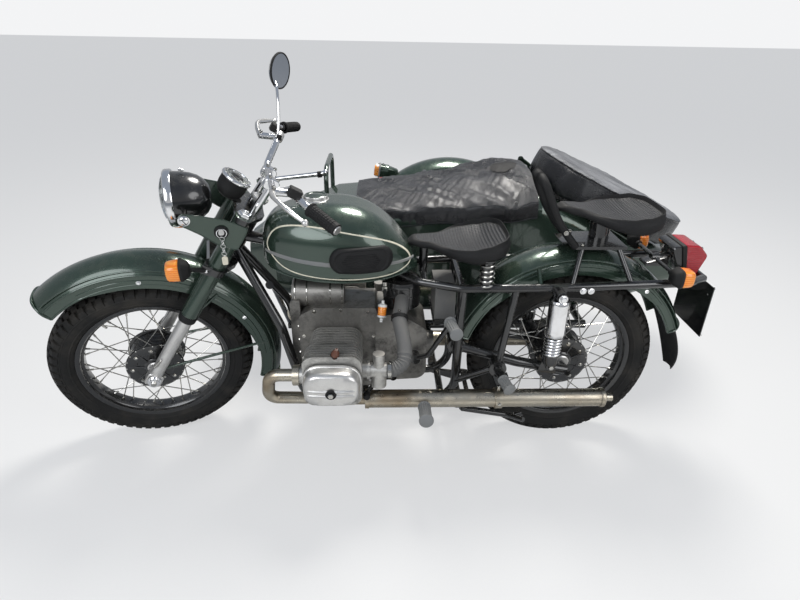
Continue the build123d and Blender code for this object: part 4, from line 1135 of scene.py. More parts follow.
def makeSpareCover():
    form = Form()
    form.grid(spareTop, "sunVinyl", sparePlace, ring=True)
    form.grid([spareTop[-1]] + spareWall, "coverVinyl", sparePlace, ring=True)
    return form.done("spareWheelCover", "boot_lid", "vinyl", ["spare_wheel"], 70)


def makeSpareSeam():
    form = Form()
    piping = [Vector(p) + Vector((0, 0, 1.5)) for p in spareWall[0][::2]]
    form.hose(piping, spare["seam"], "coverVinyl", sparePlace, 8, 2, True)
    wide = spare["radius"] * spare["backShare"]
    back = [[(wide * share * c, wide * share * s, z) for c, s in circle(72)] for share, z in spare["back"]]
    form.grid(back, "tyreRubber", sparePlace, ring=True)
    form.done("spareWheelSeam", "boot_lid", "vinyl")


makeSpareCover()
makeSpareSeam()
print("spare wheel covered")

# Headlamp: black shell, chrome rim, domed glass before its reflector, green ears
headlamp = {
    "centre": (196, 0, 640),
    "shell": [(0, -75), (14, -74), (34, -69), (52, -57), (65, -40), (74, -18), (79, 6), (81.5, 34),
              (81.5, 38)],
    "rim": [(81, 33), (86.5, 33), (88.5, 36), (88.5, 50), (87, 54), (83, 57), (79, 57.5), (77, 55), (77, 50)],
    "bowl": [(77, 49), (69, 33), (54, 17), (36, 6), (16, 0), (9, 0), (9, 20), (6, 26), (0, 28)],
    "glass": [(77.5, 54), (74, 59), (62, 66), (44, 71.5), (22, 74.5), (0, 75.4), (0, 73), (22, 72), (44, 69),
              (62, 63.5), (75, 55)],
    "pin": ((-6, 0, 86), (8, 0, 92)), "vents": 5, "ventGap": 2.6, "ventHalf": 1.3, "vent": (53, 80.5),
    "ear": [(20, 600), (70, 594), (140, 606), (204, 610), (216, 628), (206, 646), (150, 664), (92, 680),
            (20, 682)],
    "earAt": 132.3, "earThick": 3, "earBead": 1.8, "bracketIn": 60, "bracket": 8,
    "bolt": (196, 628), "boltHead": [(0, 0), (17, 0), (17, 2), (13.5, 3), (13, 6), (10, 8.5), (0, 9.4)],
    "slot": (10, 5), "slotProud": 12.2,
    "ribs": 7, "ribGap": 8.5, "ribReach": 68, "ribThick": 1.2, "dome": (75, 19, 74),
}
lampPlace = fork @ Matrix.Translation(headlamp["centre"]) @ Matrix.Rotation(rake, 4, "Y")
lampForward = lampPlace @ quarter("Y")


def makeHeadlampEar(form, side):
    inner = side * headlamp["earAt"]
    outer = inner + side * headlamp["earThick"]
    line = rounded(headlamp["ear"], 16, 5)
    form.slab(line, min(inner, outer), max(inner, outer), "greenEnamel", fork @ sideOn, 1)
    form.hose([(x, outer, z) for x, z in line[::3]], headlamp["earBead"], "greenEnamel", fork, 8, 3, True)
    x, z = headlamp["bolt"]
    form.lathe(headlamp["boltHead"], "chrome", aim((x, outer, z), (0, side, 0), fork), 32)
    wide, high = headlamp["slot"]
    y = inner + side * headlamp["slotProud"]
    form.bar((x - wide, y, z - high), (x + wide, y, z + high), 1.3, "blackPlastic", fork, 8, edge=0.3)
    root = (x, side * headlamp["bracketIn"], z)
    form.bar(root, (x, inner, z), headlamp["bracket"], "blackEnamel", fork, 16)


def makeHeadlamp():
    form = Form()
    form.lathe(headlamp["shell"], "blackEnamel", lampForward, 72)
    form.lathe(headlamp["rim"], "chrome", lampForward, 72)
    form.lathe(headlamp["bowl"], "chrome", lampForward, 64)
    form.bar(*headlamp["pin"], 4, "chrome", lampPlace, 12)
    x, z = headlamp["vent"]
    for number in range(-headlamp["vents"], headlamp["vents"] + 1):
        start, end = (number * headlamp["ventGap"] + side * headlamp["ventHalf"] for side in (-1, 1))
        form.bar((x, start, z), (x, end, z), 1, "chrome", lampPlace, 6, edge=0.2)
    for side in (-1, 1):
        makeHeadlampEar(form, side)
    form.done("headlampShell", "steering", "black_paint", ["headlamp"])


def makeHeadlampGlass():
    form = Form()
    form.lathe(headlamp["glass"], "clearGlass", lampForward, 64)
    front, deep, wide = headlamp["dome"]
    for number in range(-headlamp["ribs"], headlamp["ribs"] + 1):
        y = number * headlamp["ribGap"]
        reach = math.sqrt(headlamp["ribReach"] ** 2 - y ** 2)
        heights = [reach * t for t in (-1, -0.6, -0.2, 0.2, 0.6, 1)]
        path = [(front - deep * (y ** 2 + z ** 2) / wide ** 2, y, z) for z in heights]
        form.hose(path, headlamp["ribThick"], "clearGlass", lampPlace, 6, 3)
    form.done("headlampGlass", "steering", "chrome")


# Key switch on the left ear, with a key, its ring and chain, and a plain tag
keySwitch = {
    "x": 88, "z": 640, "y": 135.3,
    "body": [(0, 0), (21, 0), (21, 5), (19, 8), (14, 9), (13, 13), (8, 14), (0, 14)],
    "ring": [(14, 9), (15.5, 9), (15.5, 10.5), (13, 11)],
    "key": [(-7, -3), (7, -3), (9, 6), (5, 16), (-5, 16), (-9, 6)], "keyOut": 16, "keyTurn": 0.5,
    "links": 5, "linkGap": 12, "linkHang": 14, "linkHigh": 7, "linkFlat": 3, "linkWide": (7, 5), "wire": 1.3,
    "linkTurns": (0, 1.05, 2.1, 3.14, 4.2, 5.25),
    "tag": [(-8, -14), (8, -14), (9, 10), (4, 14), (-4, 14), (-9, 10)], "tagDrop": 84,
    "tagTurn": 0.4, "tagHalf": 1.6,
}


def makeKeySwitch():
    form = Form()
    x, y, z = (keySwitch[key] for key in "xyz")
    dial = aim((x, y, z), (0, 1, 0), fork)
    form.lathe(keySwitch["body"], "blackPlastic", dial, 40)
    form.lathe(keySwitch["ring"], "chrome", dial, 40)
    hang = (fork @ Vector((x, y + keySwitch["keyOut"], z)) - zero) * 1000
    hung = bike @ Matrix.Translation(hang)
    keyPlace = hung @ Matrix.Rotation(keySwitch["keyTurn"], 4, "Z") @ quarter("X")
    form.slab(rounded(keySwitch["key"], 4), -1, 1, "bareAluminium", keyPlace, 0.5)
    for n in range(keySwitch["links"]):  # the ring and its chain, each link turned from the last
        wide = keySwitch["linkWide"][n % 2]
        link = []
        for t in keySwitch["linkTurns"]:
            across, flat = math.cos(t) * wide, math.sin(t) * keySwitch["linkFlat"]
            drop = math.sin(t) * keySwitch["linkHigh"] - keySwitch["linkHang"] - n * keySwitch["linkGap"]
            link.append(hang + Vector((flat, across, drop) if n % 2 else (across, flat, drop)))
        form.hose(link, keySwitch["wire"], "bareAluminium", bike, 8, 4, True)
    drop = Matrix.Translation((0, 0, -keySwitch["tagDrop"]))
    tagPlace = hung @ drop @ Matrix.Rotation(keySwitch["tagTurn"], 4, "Z") @ sideOn
    half = keySwitch["tagHalf"]
    form.slab(rounded(keySwitch["tag"], 5), -half, half, "creamLine", tagPlace, 0.6)
    form.done("keySwitch", "steering", "black_plastic")


# Fork legs: painted covers over pale sliders, and the nuts of the axle between them
forkLeg = {
    "ahead": 44, "beside": 103,
    "slider": [(0, -28), (9, -28), (12, -25), (16, -24), (20, -16), (22.4, 18), (21.4, 30), (21.2, 150),
               (22.4, 250), (22.4, 281), (20, 282)],
    "seal": [(22, 276), (28.6, 276), (29.6, 280), (29.6, 296), (28, 300)],
    "cover": [(26, 299), (27.6, 300), (27.4, 470), (27.0, 474), (27.2, 478), (27.0, 700), (20, 702)],
    "top": [(0, 700), (21, 700), (22, 703), (22, 712), (19, 716), (0, 717)],
    "ribAt": 27.3, "ribTurns": (0.4, 2.74, 3.54, 5.88), "ribFrom": 304, "ribTo": 560, "rib": 1.6,
    "clamp": [(-28, -26), (26, -26), (26, 20), (8, 28), (-28, 20)], "clampHalf": 17,
    "bolts": (-18, 12), "boltBack": 29, "lug": ((22, 20, 60), (14, 20, 96)),
}
axleNut = {
    "at": 125.5, "washerAt": 124,
    "nut": [(0, 0), (17, 0), (17, 9), (15, 11), (0, 11)],
    "washer": [(0, 0), (22, 0), (22, 2), (0, 2)],
    "end": [(0, 11), (9, 11), (9, 16), (7, 18), (0, 18)],
}


def makeForkLegs():
    form = Form()
    ahead = forkLeg["ahead"]
    for side in (-1, 1):
        foot = onSide((ahead, forkLeg["beside"], 0), side)
        stand = fork @ Matrix.Translation(foot)
        form.lathe(forkLeg["slider"], "bareAluminium", stand, 40)
        form.lathe(forkLeg["seal"], "blackRubber", stand, 40)
        form.lathe(forkLeg["cover"], "greenEnamel", stand, 48)
        for a in forkLeg["ribTurns"]:  # pressed ribs down the cover
            x, y = forkLeg["ribAt"] * math.cos(a), forkLeg["ribAt"] * math.sin(a)
            start, end = (x, y, forkLeg["ribFrom"]), (x, y, forkLeg["ribTo"])
            form.bar(start, end, forkLeg["rib"], "greenEnamel", stand, 8, edge=0.6)
        form.lathe(forkLeg["top"], "chrome", stand, 6)
        half = forkLeg["clampHalf"]
        form.slab(rounded(forkLeg["clamp"], 9), -half, half, "bareAluminium", stand @ sideOn, 2)
        for rise in forkLeg["bolts"]:
            form.bolt((ahead - forkLeg["boltBack"], foot.y, rise), (-1, 0, 0), 4.5, "steelWire", fork)
        start, end = (foot + onSide(point, side) for point in forkLeg["lug"])
        form.bar(start, end, 5, "steelWire", fork, 12)
    form.done("forkLegPair", "steering", "green_paint", ["fork_legs"])


def makeAxleNuts():
    form = Form()
    for side in (-1, 1):
        place = aim((forkLeg["ahead"], side * axleNut["at"], 0), (0, side, 0), fork)
        washerPlace = aim((forkLeg["ahead"], side * axleNut["washerAt"], 0), (0, side, 0), fork)
        form.lathe(axleNut["nut"], "chrome", place, 6)
        form.lathe(axleNut["washer"], "chrome", washerPlace, 32)
        form.lathe(axleNut["end"], "steelWire", place, 24)
    form.done("axleNuts", "steering", "chrome")


# Speedometer in its cup: marks, plain figures and a needle under a domed glass
speedo = {
    "foot": (96, 0, 706), "lean": (-4, 0, 62),
    "cup": [(0, -6), (26, -4), (36, 4), (42, 14), (44.5, 30), (44.5, 52), (45.5, 54), (45.5, 58), (43, 60)],
    "bezel": [(44.5, 56), (47.5, 57), (48.5, 60), (47.5, 64), (44, 66.5), (40.5, 66), (40, 62)],
    "glass": [(41, 64), (30, 65.6), (0, 66.4), (0, 65.4), (30, 64.6), (41, 63)],
    "dial": 40.5, "dialHigh": 61, "from": 225, "sweep": 270, "marks": 40, "markAt": 38, "markHigh": 61.3,
    "longMark": (6, 0.6), "shortMark": (3, 0.35),  # length, thickness
    "top": 120, "figureStep": 20, "figureAt": 27, "figureSize": 8.5, "figureHigh": 61.6, "figureThick": 0.15,
    "window": [(-9, -15), (9, -15), (9, -10), (-9, -10)], "needle": ((0, 0, 62.5), (-24, 14, 62.5)),
    "boss": [(0, 61), (4.5, 61), (4.5, 64), (0, 64.5)], "arm": ((50, 0, 694), (96, 0, 712)), "armThick": 11,
}
cupPlace = aim(speedo["foot"], Vector(speedo["lean"]).normalized(), fork)


def addFigure(form, number):
    curve = bpy.data.curves.new("figure", "FONT")
    curve.body = str(number)
    curve.size = speedo["figureSize"]
    curve.align_x = "CENTER"
    curve.align_y = "CENTER"
    curve.extrude = speedo["figureThick"]
    holder = bpy.data.objects.new("figure", curve)
    scene.collection.objects.link(holder)
    bpy.context.view_layer.update()
    drawn = bpy.data.meshes.new_from_object(holder)
    a = math.radians(speedo["from"] - number * speedo["sweep"] / speedo["top"] + 90)
    reach = speedo["figureAt"]
    spot = Matrix.Translation((reach * math.cos(a), reach * math.sin(a), 0))
    plane = cupPlace @ Matrix.Translation((0, 0, speedo["figureHigh"])) @ quarter("Z", -1)
    faces = [p.vertices[:] for p in drawn.polygons]
    form.add([v.co for v in drawn.vertices], faces, "blackPlastic", plane @ spot)
    bpy.data.objects.remove(holder)
    bpy.data.meshes.remove(drawn)
    bpy.data.curves.remove(curve)


def makeSpeedometer():
    form = Form()
    form.lathe(speedo["cup"], "blackPlastic", cupPlace, 64)
    form.lathe(speedo["bezel"], "chrome", cupPlace, 64)
    dial = [(speedo["dial"], speedo["dialHigh"]), (0, speedo["dialHigh"])]
    form.lathe(dial, "dialWhite", cupPlace, 64)
    for number in range(speedo["marks"] + 1):
        a = math.radians(speedo["from"] - number * speedo["sweep"] / speedo["marks"])
        long, thick = speedo["shortMark" if number % 4 else "longMark"]
        start, end = ((r * math.cos(a), r * math.sin(a), speedo["markHigh"])
                      for r in (speedo["markAt"], speedo["markAt"] - long))
        form.bar(start, end, thick, "blackPlastic", cupPlace, 6, edge=0.1)
    form.slab(rounded(speedo["window"], 1), 61, 61.8, "blackPlastic", cupPlace, 0.2)
    form.bar(*speedo["needle"], 1.1, "redLens", cupPlace, 8, tip=0.4, edge=0.2)
    form.lathe(speedo["boss"], "blackPlastic", cupPlace, 24)
    form.bar(*speedo["arm"], speedo["armThick"], "blackPlastic", fork, 20)
    for number in range(0, speedo["top"] + 1, speedo["figureStep"]):
        addFigure(form, number)
    form.done("speedometerCup", "steering", "black_plastic", ["speedometer"])
    glass = Form().lathe(speedo["glass"], "clearGlass", cupPlace, 48)
    glass.done("speedometerGlass", "steering", "chrome")


# Bar fittings: damper knob, bar clamps, levers with their balls and perches, switch boxes
bars = {
    "rise": 812, "knobHigh": 722,
    "knobFoot": [(0, -6), (12, -6), (12, 8), (0, 8)],
    "star": ((8, 20), (9, 28), (18, 30), (22, 27), (24, 12), (23, 0.01)),  # height, radius
    "starDeep": 0.12, "starPlain": 20, "starSteps": 56,
    "clamp": [(-22, -18), (22, -18), (24, 10), (14, 20), (-16, 20), (-24, 10)], "clampY": 44, "clampHalf": 13,
    "clampX": 3, "clampBolts": (-10, 16), "clampTop": 20,
    "ball": [(0, -9.5), (5, -8), (8.5, -4), (9.5, 0), (8.5, 4), (5, 8), (0, 9.5)],
    "blade": [(40, 226, 46), (50, 270, 53), (48, 310, 61), (20, 360, 66), (-20, 400, 70)],
    "bladeThick": 8.5, "bladeTaper": 3.2,
    "perch": ((-14, 214, 65), (-22, 246, 75)), "perchThick": 17, "pivot": (44, 226, 58),
    "box": [(-18, -14), (20, -14), (20, 14), (-18, 14)], "boxAt": (-4, 262, 66), "boxLow": 4, "boxHigh": 30,
}


def makeBarFittings():
    form = Form()
    knob = fork @ Matrix.Translation((0, 0, bars["knobHigh"]))
    form.lathe(bars["knobFoot"], "chrome", knob, 24)
    rows = []
    for height, radius in bars["star"]:
        row = []
        for n, (c, s) in enumerate(circle(bars["starSteps"])):
            lobe = 0.5 + 0.5 * math.cos(n * math.pi / 4)
            r = radius * (1 - bars["starDeep"] * lobe * (radius > bars["starPlain"]))
            row.append((c * r, s * r, height))
        rows.append(row)
    form.grid(rows, "bareAluminium", knob, ring=True)
    bar = fork @ Matrix.Translation((0, 0, bars["rise"]))
    clampPlace = bar @ Matrix.Translation((bars["clampX"], 0, 0)) @ sideOn
    for side in (-1, 1):
        y = side * bars["clampY"]
        half = bars["clampHalf"]
        form.slab(rounded(bars["clamp"], 8), y - half, y + half, "chrome", clampPlace, 2)
        for x in bars["clampBolts"]:
            form.bolt((x, y, bars["clampTop"]), (0, 0, 1), 5, "steelWire", bar)
        blade = [onSide(point, side) for point in bars["blade"]]
        form.lathe(bars["ball"], "bareAluminium", bar @ Matrix.Translation(blade[-1]), 24)
        thick, taper = bars["bladeThick"], bars["bladeTaper"]
        form.hose(blade, lambda t: thick - taper * t, "bareAluminium", bar, 12, 6)
        start, end = (onSide(point, side) for point in bars["perch"])
        form.bar(start, end, bars["perchThick"], "bareAluminium", bar, 24, edge=3)
        form.bolt(onSide(bars["pivot"], side), (0, 0, 1), 6, "steelWire", bar)
        box = bar @ Matrix.Translation(onSide(bars["boxAt"], side))
        low, high = bars["boxLow"], bars["boxHigh"]
        form.slab(rounded(bars["box"], 6), low, high, "blackPlastic", box, 2)
    form.done("barFittings", "steering", "chrome")


def flutedRubber(form, profile, ridged, proud, skin, place, steps):
    # turned rubber with grooves along it between two heights
    rows = []
    for height, radius in profile:
        ridge = proud if ridged[0] <= height <= ridged[1] else 0
        row = []
        for n, (c, s) in enumerate(circle(steps)):
            r = radius + (ridge if n % 4 < 2 else 0)
            row.append((c * r, s * r, height))
        rows.append(row)
    form.grid(rows, skin, place, ring=True)


# Grips: fluted and ringed rubber with a plug in its end
barGrip = {
    "corner": (-22, 300, 892), "end": (-98, 400, 902), "back": 32, "over": 8,
    "collar": [(0, 14), (0.5, 20.5), (5, 21), (7, 19), (9, 16.6)],
    "tail": [(-8, 16.4), (-5, 17.6), (-1, 17.4), (0, 15.5), (0, 4)],  # heights from the end
    "proud": 0.9, "steps": 72, "rings": 9, "ringFrom": 16, "ringTo": 18,
    "ring": ((16.8, -1.6), (18.2, -0.6), (18.2, 0.6), (16.8, 1.6)),
    "plug": ((12.5, 0), (13, 1), (12, 3.5), (0, 4)),
}


def makeGrips():
    form = Form()
    for side in (-1, 1):
        a, b = onSide(barGrip["corner"], side), onSide(barGrip["end"], side)
        way = (b - a).normalized()
        place = aim(a + way * barGrip["back"], way, fork)
        long = (b - a).length + barGrip["over"] - barGrip["back"]
        profile = barGrip["collar"] + [(long + z, r) for z, r in barGrip["tail"]]
        ridged = (barGrip["collar"][-1][0], long + barGrip["tail"][0][0])
        flutedRubber(form, profile, ridged, barGrip["proud"], "blackRubber", place, barGrip["steps"])
        span = long - barGrip["ringFrom"] - barGrip["ringTo"]
        for number in range(barGrip["rings"]):
            height = barGrip["ringFrom"] + number * span / (barGrip["rings"] - 1)
            form.lathe([(r, height + z) for r, z in barGrip["ring"]], "blackRubber", place, 40)
        form.lathe([(r, long + z) for r, z in barGrip["plug"]], "bareAluminium", place, 32)
    form.done("barGrips", "steering", "black_rubber", ["grips"])


# Round mirror on the right, on a bent chrome arm
barMirror = {
    "centre": (62, -332, 1058), "turn": 38,
    "back": [(0, -17), (20, -16), (38, -12), (51, -5), (57, 3), (58, 7)],
    "rim": [(57, 3), (59, 4), (59, 9), (56.5, 10.5), (54, 9.5)],
    "glass": [(54.5, 8.6), (0, 8.6)],
    "arm": [(-14, -205, 878), (8, -222, 930), (36, -246, 984), (52, -276, 1014), (64, -312, 1030),
            (66, -330, 1050)],
    "armThick": 5, "nut": ((-15, -203, 868), (-13, -208, 896)), "nutThick": 9.5,
    "knuckle": [(0, -9), (8, -8), (10, 0), (8, 8), (0, 9)], "knuckleAt": (62, -330, 1038),
}


def makeMirror():
    form = Form()
    lean = Matrix.Rotation(rake, 4, "Y") @ Matrix.Rotation(math.radians(-barMirror["turn"]), 4, "Z")
    place = fork @ Matrix.Translation(barMirror["centre"]) @ lean @ quarter("Y", -1)
    form.lathe(barMirror["back"], "chrome", place, 56)
    form.lathe(barMirror["rim"], "blackPlastic", place, 56)
    form.lathe(barMirror["glass"], "mirrorGlass", place, 56)
    form.hose(barMirror["arm"], barMirror["armThick"], "chrome", fork, 14, 8)
    form.bar(*barMirror["nut"], barMirror["nutThick"], "blackPlastic", fork, 6)
    form.lathe(barMirror["knuckle"], "blackPlastic", fork @ Matrix.Translation(barMirror["knuckleAt"]), 24)
    form.done("barMirror", "steering", "chrome", ["bar_mirror"])


makeHeadlamp()
makeHeadlampGlass()
makeKeySwitch()
makeForkLegs()
makeAxleNuts()
makeSpeedometer()
makeBarFittings()
makeGrips()
makeMirror()
print("steering dressed")

# Indicators: ribbed orange lenses on black housings
lensShape = {
    "housing": ((0.01, -30), (13, -30), (22, -24), (29, -9), (31, -7), (31, 0), (28, 1)),
    "lens": ((28, 0), (29, 2), (28.5, 16), (26.5, 32), (23, 37), (17, 39), (0.01, 40)),
    "ribs": 4, "ribGap": 4.6, "ribHalf": 19, "ribHigh": 38.4, "ribFall": 0.6, "rib": 1.5,
}
frontIndicator = {
    "at": (150, 168, 486), "stem": ((56, 123, 496), (132, 160, 489)), "stemThick": 7,
    "plateAt": (70, 131, 494), "boltAt": (72, 134, 494),
}


def squircle(steps=48, power=4):
    made = []
    for c, s in circle(steps):
        r = 1 / (abs(c) ** power + abs(s) ** power) ** (1 / power)
        made.append((c * r, s * r))
    return made


def squareTurned(form, profile, skin, place):
    # like a lathe, but the section is a rounded square
    form.grid([[(x * r, y * r, z) for x, y in squircle()] for r, z in profile], skin, place, ring=True)


def indicator(form, place):
    # looks along its own Z
    squareTurned(form, lensShape["housing"], "blackPlastic", place)
    squareTurned(form, lensShape["lens"], "orangeLens", place)
    for rib in range(-lensShape["ribs"], lensShape["ribs"] + 1):
        x, z = rib * lensShape["ribGap"], lensShape["ribHigh"] - abs(rib) * lensShape["ribFall"]
        start, end = ((x, side * lensShape["ribHalf"], z) for side in (-1, 1))
        form.bar(start, end, lensShape["rib"], "orangeLens", place, 6, edge=0.4)


def makeFrontIndicators():
    form = Form()
    for side in (-1, 1):
        outward = (0, side, 0)
        place = fork @ Matrix.Translation(onSide(frontIndicator["at"], side))
        indicator(form, place @ Matrix.Rotation(rake, 4, "Y") @ quarter("Y"))
        start, end = (onSide(point, side) for point in frontIndicator["stem"])
        form.bar(start, end, frontIndicator["stemThick"], "blackPlastic", fork, 16)
        platePlace = aim(onSide(frontIndicator["plateAt"], side), outward, fork)
        form.slab(oblong(18, 15, 5), -3, 3, "blackEnamel", platePlace, 1)
        form.bolt(onSide(frontIndicator["boltAt"], side), outward, 5, "chrome", fork)
    form.done("frontIndicatorPair", "steering", "orange_lens", ["front_indicators"])


makeFrontIndicators()
print("front indicators made")

# Head covers: oval lids with two raised bands and a centre nut
headCover = {
    "corners": [(-14, 388), (164, 388), (164, 509), (-14, 509)], "corner": 58,
    "face": 318, "middle": (75, 448),
    "rings": ((1.0, 0), (1.035, 1), (1.035, 9), (1.0, 11), (0.985, 30), (0.965, 40), (0.92, 48), (0.84, 52.5),
              (0.6, 54.5), (0.3, 55), (0.001, 55)),  # share of the outline, height
    "bandRises": (434, 450), "band": [(-9, 336), (-7, 352), (1, 364), (18, 371), (75, 373.4)], "bandThick": 5,
    "nutAt": (75, 442, 375),
    "washer": [(0, 0), (17, 0), (17, 3), (14, 5), (11, 4), (0, 4)],
    "nut": [(0, 4), (9.5, 4), (9.5, 10), (8, 12), (0, 12)],
}


def makeHeadCovers():
    form = Form()
    outline = rounded(headCover["corners"], headCover["corner"], 8)
    middle = Vector(headCover["middle"])
    for side in (-1, 1):
        place = bike @ sideOn @ Matrix.Diagonal((1, 1, side, 1))
        rows = []
        for share, height in headCover["rings"]:
            rows.append([(*(middle + (Vector(point) - middle) * share), headCover["face"] + height)
                         for point in outline])
        form.grid(rows, "bareAluminium", place, ring=True)
        for rise in headCover["bandRises"]:
            band = [(x, rise, out) for x, out in headCover["band"]]
            band += [(2 * middle.x - x, rise, out) for x, rise, out in reversed(band[:-1])]
            form.hose(band, headCover["bandThick"], "bareAluminium", place, 10, 4)
        nutPlace = place @ Matrix.Translation(headCover["nutAt"])
        form.lathe(headCover["washer"], "blackRubber", nutPlace, 36)
        form.lathe(headCover["nut"], "steelWire", nutPlace, 6)
    form.done("headCoverPair", "chassis", "cast_aluminium", ["head_covers"], 32)


# Plug caps on the heads, and the barrel studs between the fins
plugCap = {
    "root": (72, 290, 506), "lean": (-6, 9, 24),
    "hex": [(0, 0), (11, 0), (11, 10), (0, 10)],
    "cap": [(0, 8), (7, 9), (7, 16), (12, 18), (13, 24), (12.5, 44), (9, 52), (6, 56), (5, 62), (0, 62)],
    "band": [(12.9, 30), (14, 31), (14, 34), (12.9, 35)],
    "studs": ((8, 380), (142, 380), (8, 494), (142, 494)), "studFrom": 150, "studTo": 234,
    "stud": 5, "nut": 7,
}


def makePlugCaps():
    form = Form()
    for side in (-1, 1):
        place = aim(onSide(plugCap["root"], side), onSide(plugCap["lean"], side))
        form.lathe(plugCap["hex"], "steelWire", place, 6)
        form.lathe(plugCap["cap"], "brownPlug", place, 28)
        form.lathe(plugCap["band"], "blackRubber", place, 28)
        for x, z in plugCap["studs"]:
            start, end = (x, side * plugCap["studFrom"], z), (x, side * plugCap["studTo"], z)
            form.bar(start, end, plugCap["stud"], "steelWire")
            form.bolt((x, side * (plugCap["studTo"] - 1), z), (0, side, 0), plugCap["nut"])
    form.done("plugCaps", "chassis", "cast_aluminium")


# Generator's bands and cover, and the screws round the crankcase
generator = {
    "z": 606, "bands": (56, 96, 176, 216), "band": [(52.5, -2.5), (54.4, -1.5), (54.4, 1.5), (52.5, 2.5)],
    "coverX": 221, "cover": [(0, 0), (46, 0), (48, 2), (46, 6), (20, 8), (18, 12), (0, 12)],
    "screwX": 226, "screws": 6, "screwRing": 34, "screw": 3.6,
}
crankcase = {
    "side": [(196, 300), (196, 380), (190, 470), (150, 566), (60, 572), (-30, 566), (-52, 470), (-52, 360),
             (-40, 284), (70, 272), (150, 276)],
    "outside": 400, "front": 600, "frontHalf": 74, "frontHeights": range(300, 561, 52), "screw": 4.6,
}


def makeCaseScrews():
    form = Form()
    forward = (1, 0, 0)
    for x in generator["bands"]:
        form.lathe(generator["band"], "steelWire", aim((x, 0, generator["z"]), forward), 48)
    coverPlace = aim((generator["coverX"], 0, generator["z"]), forward)
    form.lathe(generator["cover"], "castAluminium", coverPlace, 48)
    for c, s in circle(generator["screws"]):
        y, z = generator["screwRing"] * c, generator["z"] + generator["screwRing"] * s
        form.bolt((generator["screwX"], y, z), forward, generator["screw"])
    engineSkin = skinOf("engine")
    for side in (-1, 1):
        for x, z in crankcase["side"]:
            screwOn(form, engineSkin, (x, side * crankcase["outside"], z), (0, side, 0), crankcase["screw"])
    for z in crankcase["frontHeights"]:
        for side in (-1, 1):
            start = (crankcase["front"], side * crankcase["frontHalf"], z)
            screwOn(form, engineSkin, start, forward, crankcase["screw"])
    form.done("caseScrews", "chassis", "cast_aluminium")


# Carburettors' float bowls, caps and cable stems
carburettor = {
    "x": -66, "y": 262, "bowlTop": 440, "capFoot": 482,
    "bowl": [(0, 0), (17, 0), (19, 3), (19, 24), (16, 32), (6, 36), (0, 36)],
    "cap": [(0, 0), (15, 0), (16, 4), (14, 10), (9, 12), (0, 12)],
    "stem": ((-58, 262, 490), (-54, 256, 516)), "stemThick": 3,
}


def makeCarburettorFittings():
    form = Form()
    for side in (-1, 1):
        bowlPlace = aim((carburettor["x"], side * carburettor["y"], carburettor["bowlTop"]), (0, 0, -1))
        capPlace = aim((carburettor["x"], side * carburettor["y"], carburettor["capFoot"]), (0, 0, 1))
        form.lathe(carburettor["bowl"], "castAluminium", bowlPlace, 32)
        form.lathe(carburettor["cap"], "blackPlastic", capPlace, 32)
        start, end = (onSide(point, side) for point in carburettor["stem"])
        form.bar(start, end, carburettor["stemThick"], "blackPlastic")
    form.done("carburettorBands", "chassis", "cast_aluminium")


# Air cleaner drum and its rubber elbows, ribbed where they bend to the carburettor
intake = {
    "drumX": -150, "drumBoltHigh": 668,
    "drum": [(0, 560), (60, 560), (65, 564), (65, 600), (66.5, 602), (66.5, 610), (65, 612), (65, 640),
             (67, 642), (67, 650), (64, 660), (50, 667), (0, 669)],
    "elbow": [(-150, 40, 606), (-146, 92, 598), (-138, 140, 576), (-146, 182, 544), (-154, 216, 508),
              (-148, 246, 474), (-122, 261, 457), (-94, 262, 454)],
    "fine": 10, "thick": 24, "ribFrom": 0.62, "rib": 1.6, "ribs": 150,
    "clamps": ((20, "blackPlastic", 4), (66, "steelWire", 2.5)),  # which point, finish, how proud
}


def elbowThick(t):
    past = t - intake["ribFrom"]
    return intake["thick"] + (intake["rib"] * math.sin(past * intake["ribs"]) if past > 0 else 0)


def makeIntake():
    form = Form()
    form.lathe(intake["drum"], "blackEnamel", bike @ Matrix.Translation((intake["drumX"], 0, 0)), 64)
    form.bolt((intake["drumX"], 0, intake["drumBoltHigh"]), (0, 0, 1), 9)
    for side in (-1, 1):
        line = smoothPath([onSide(point, side) for point in intake["elbow"]], intake["fine"])
        form.hose(line, elbowThick, "greyRubber", fine=1, steps=32)
        for index, skin, proud in intake["clamps"]:
            wide = intake["thick"] + proud
            place = aim(line[index], line[index + 1] - line[index - 1])
            band = [(intake["thick"] - 2, -7), (wide, -6), (wide, 6), (intake["thick"] - 2, 7)]
            form.lathe(band, skin, place, 40)
            form.bolt(line[index] + Vector((0, 0, wide)), (0, 0, 1), 4)
    form.done("intakeHoses", "chassis", "grey_rubber", ["intake"])


# Petrol tap under the tank, and the clear filter with its orange ring
fuelTap = {
    "at": (-90, 64, 674),
    "body": [(0, 0), (9, 0), (9, 14), (12, 16), (12, 30), (9, 34), (6, 44), (4, 52), (0, 52)],
    "spindle": ((-90, 64, 652), (-90, 96, 648)), "spindleThick": 4,
    "handleAt": (-90, 94, 648), "handleThick": 5,
    "filterAt": (-84, 84, 606), "filterLean": (6, 24, -60),
    "inlet": [(0, -6), (5, -6), (5, 4), (15, 8), (15.5, 10), (15.5, 15), (14, 16)],
    "element": [(14, 15), (14.5, 17), (14.5, 44), (14, 46)],
    "outlet": [(14, 44), (15.5, 46), (15.5, 50), (6, 56), (5, 68), (0, 68)],
}


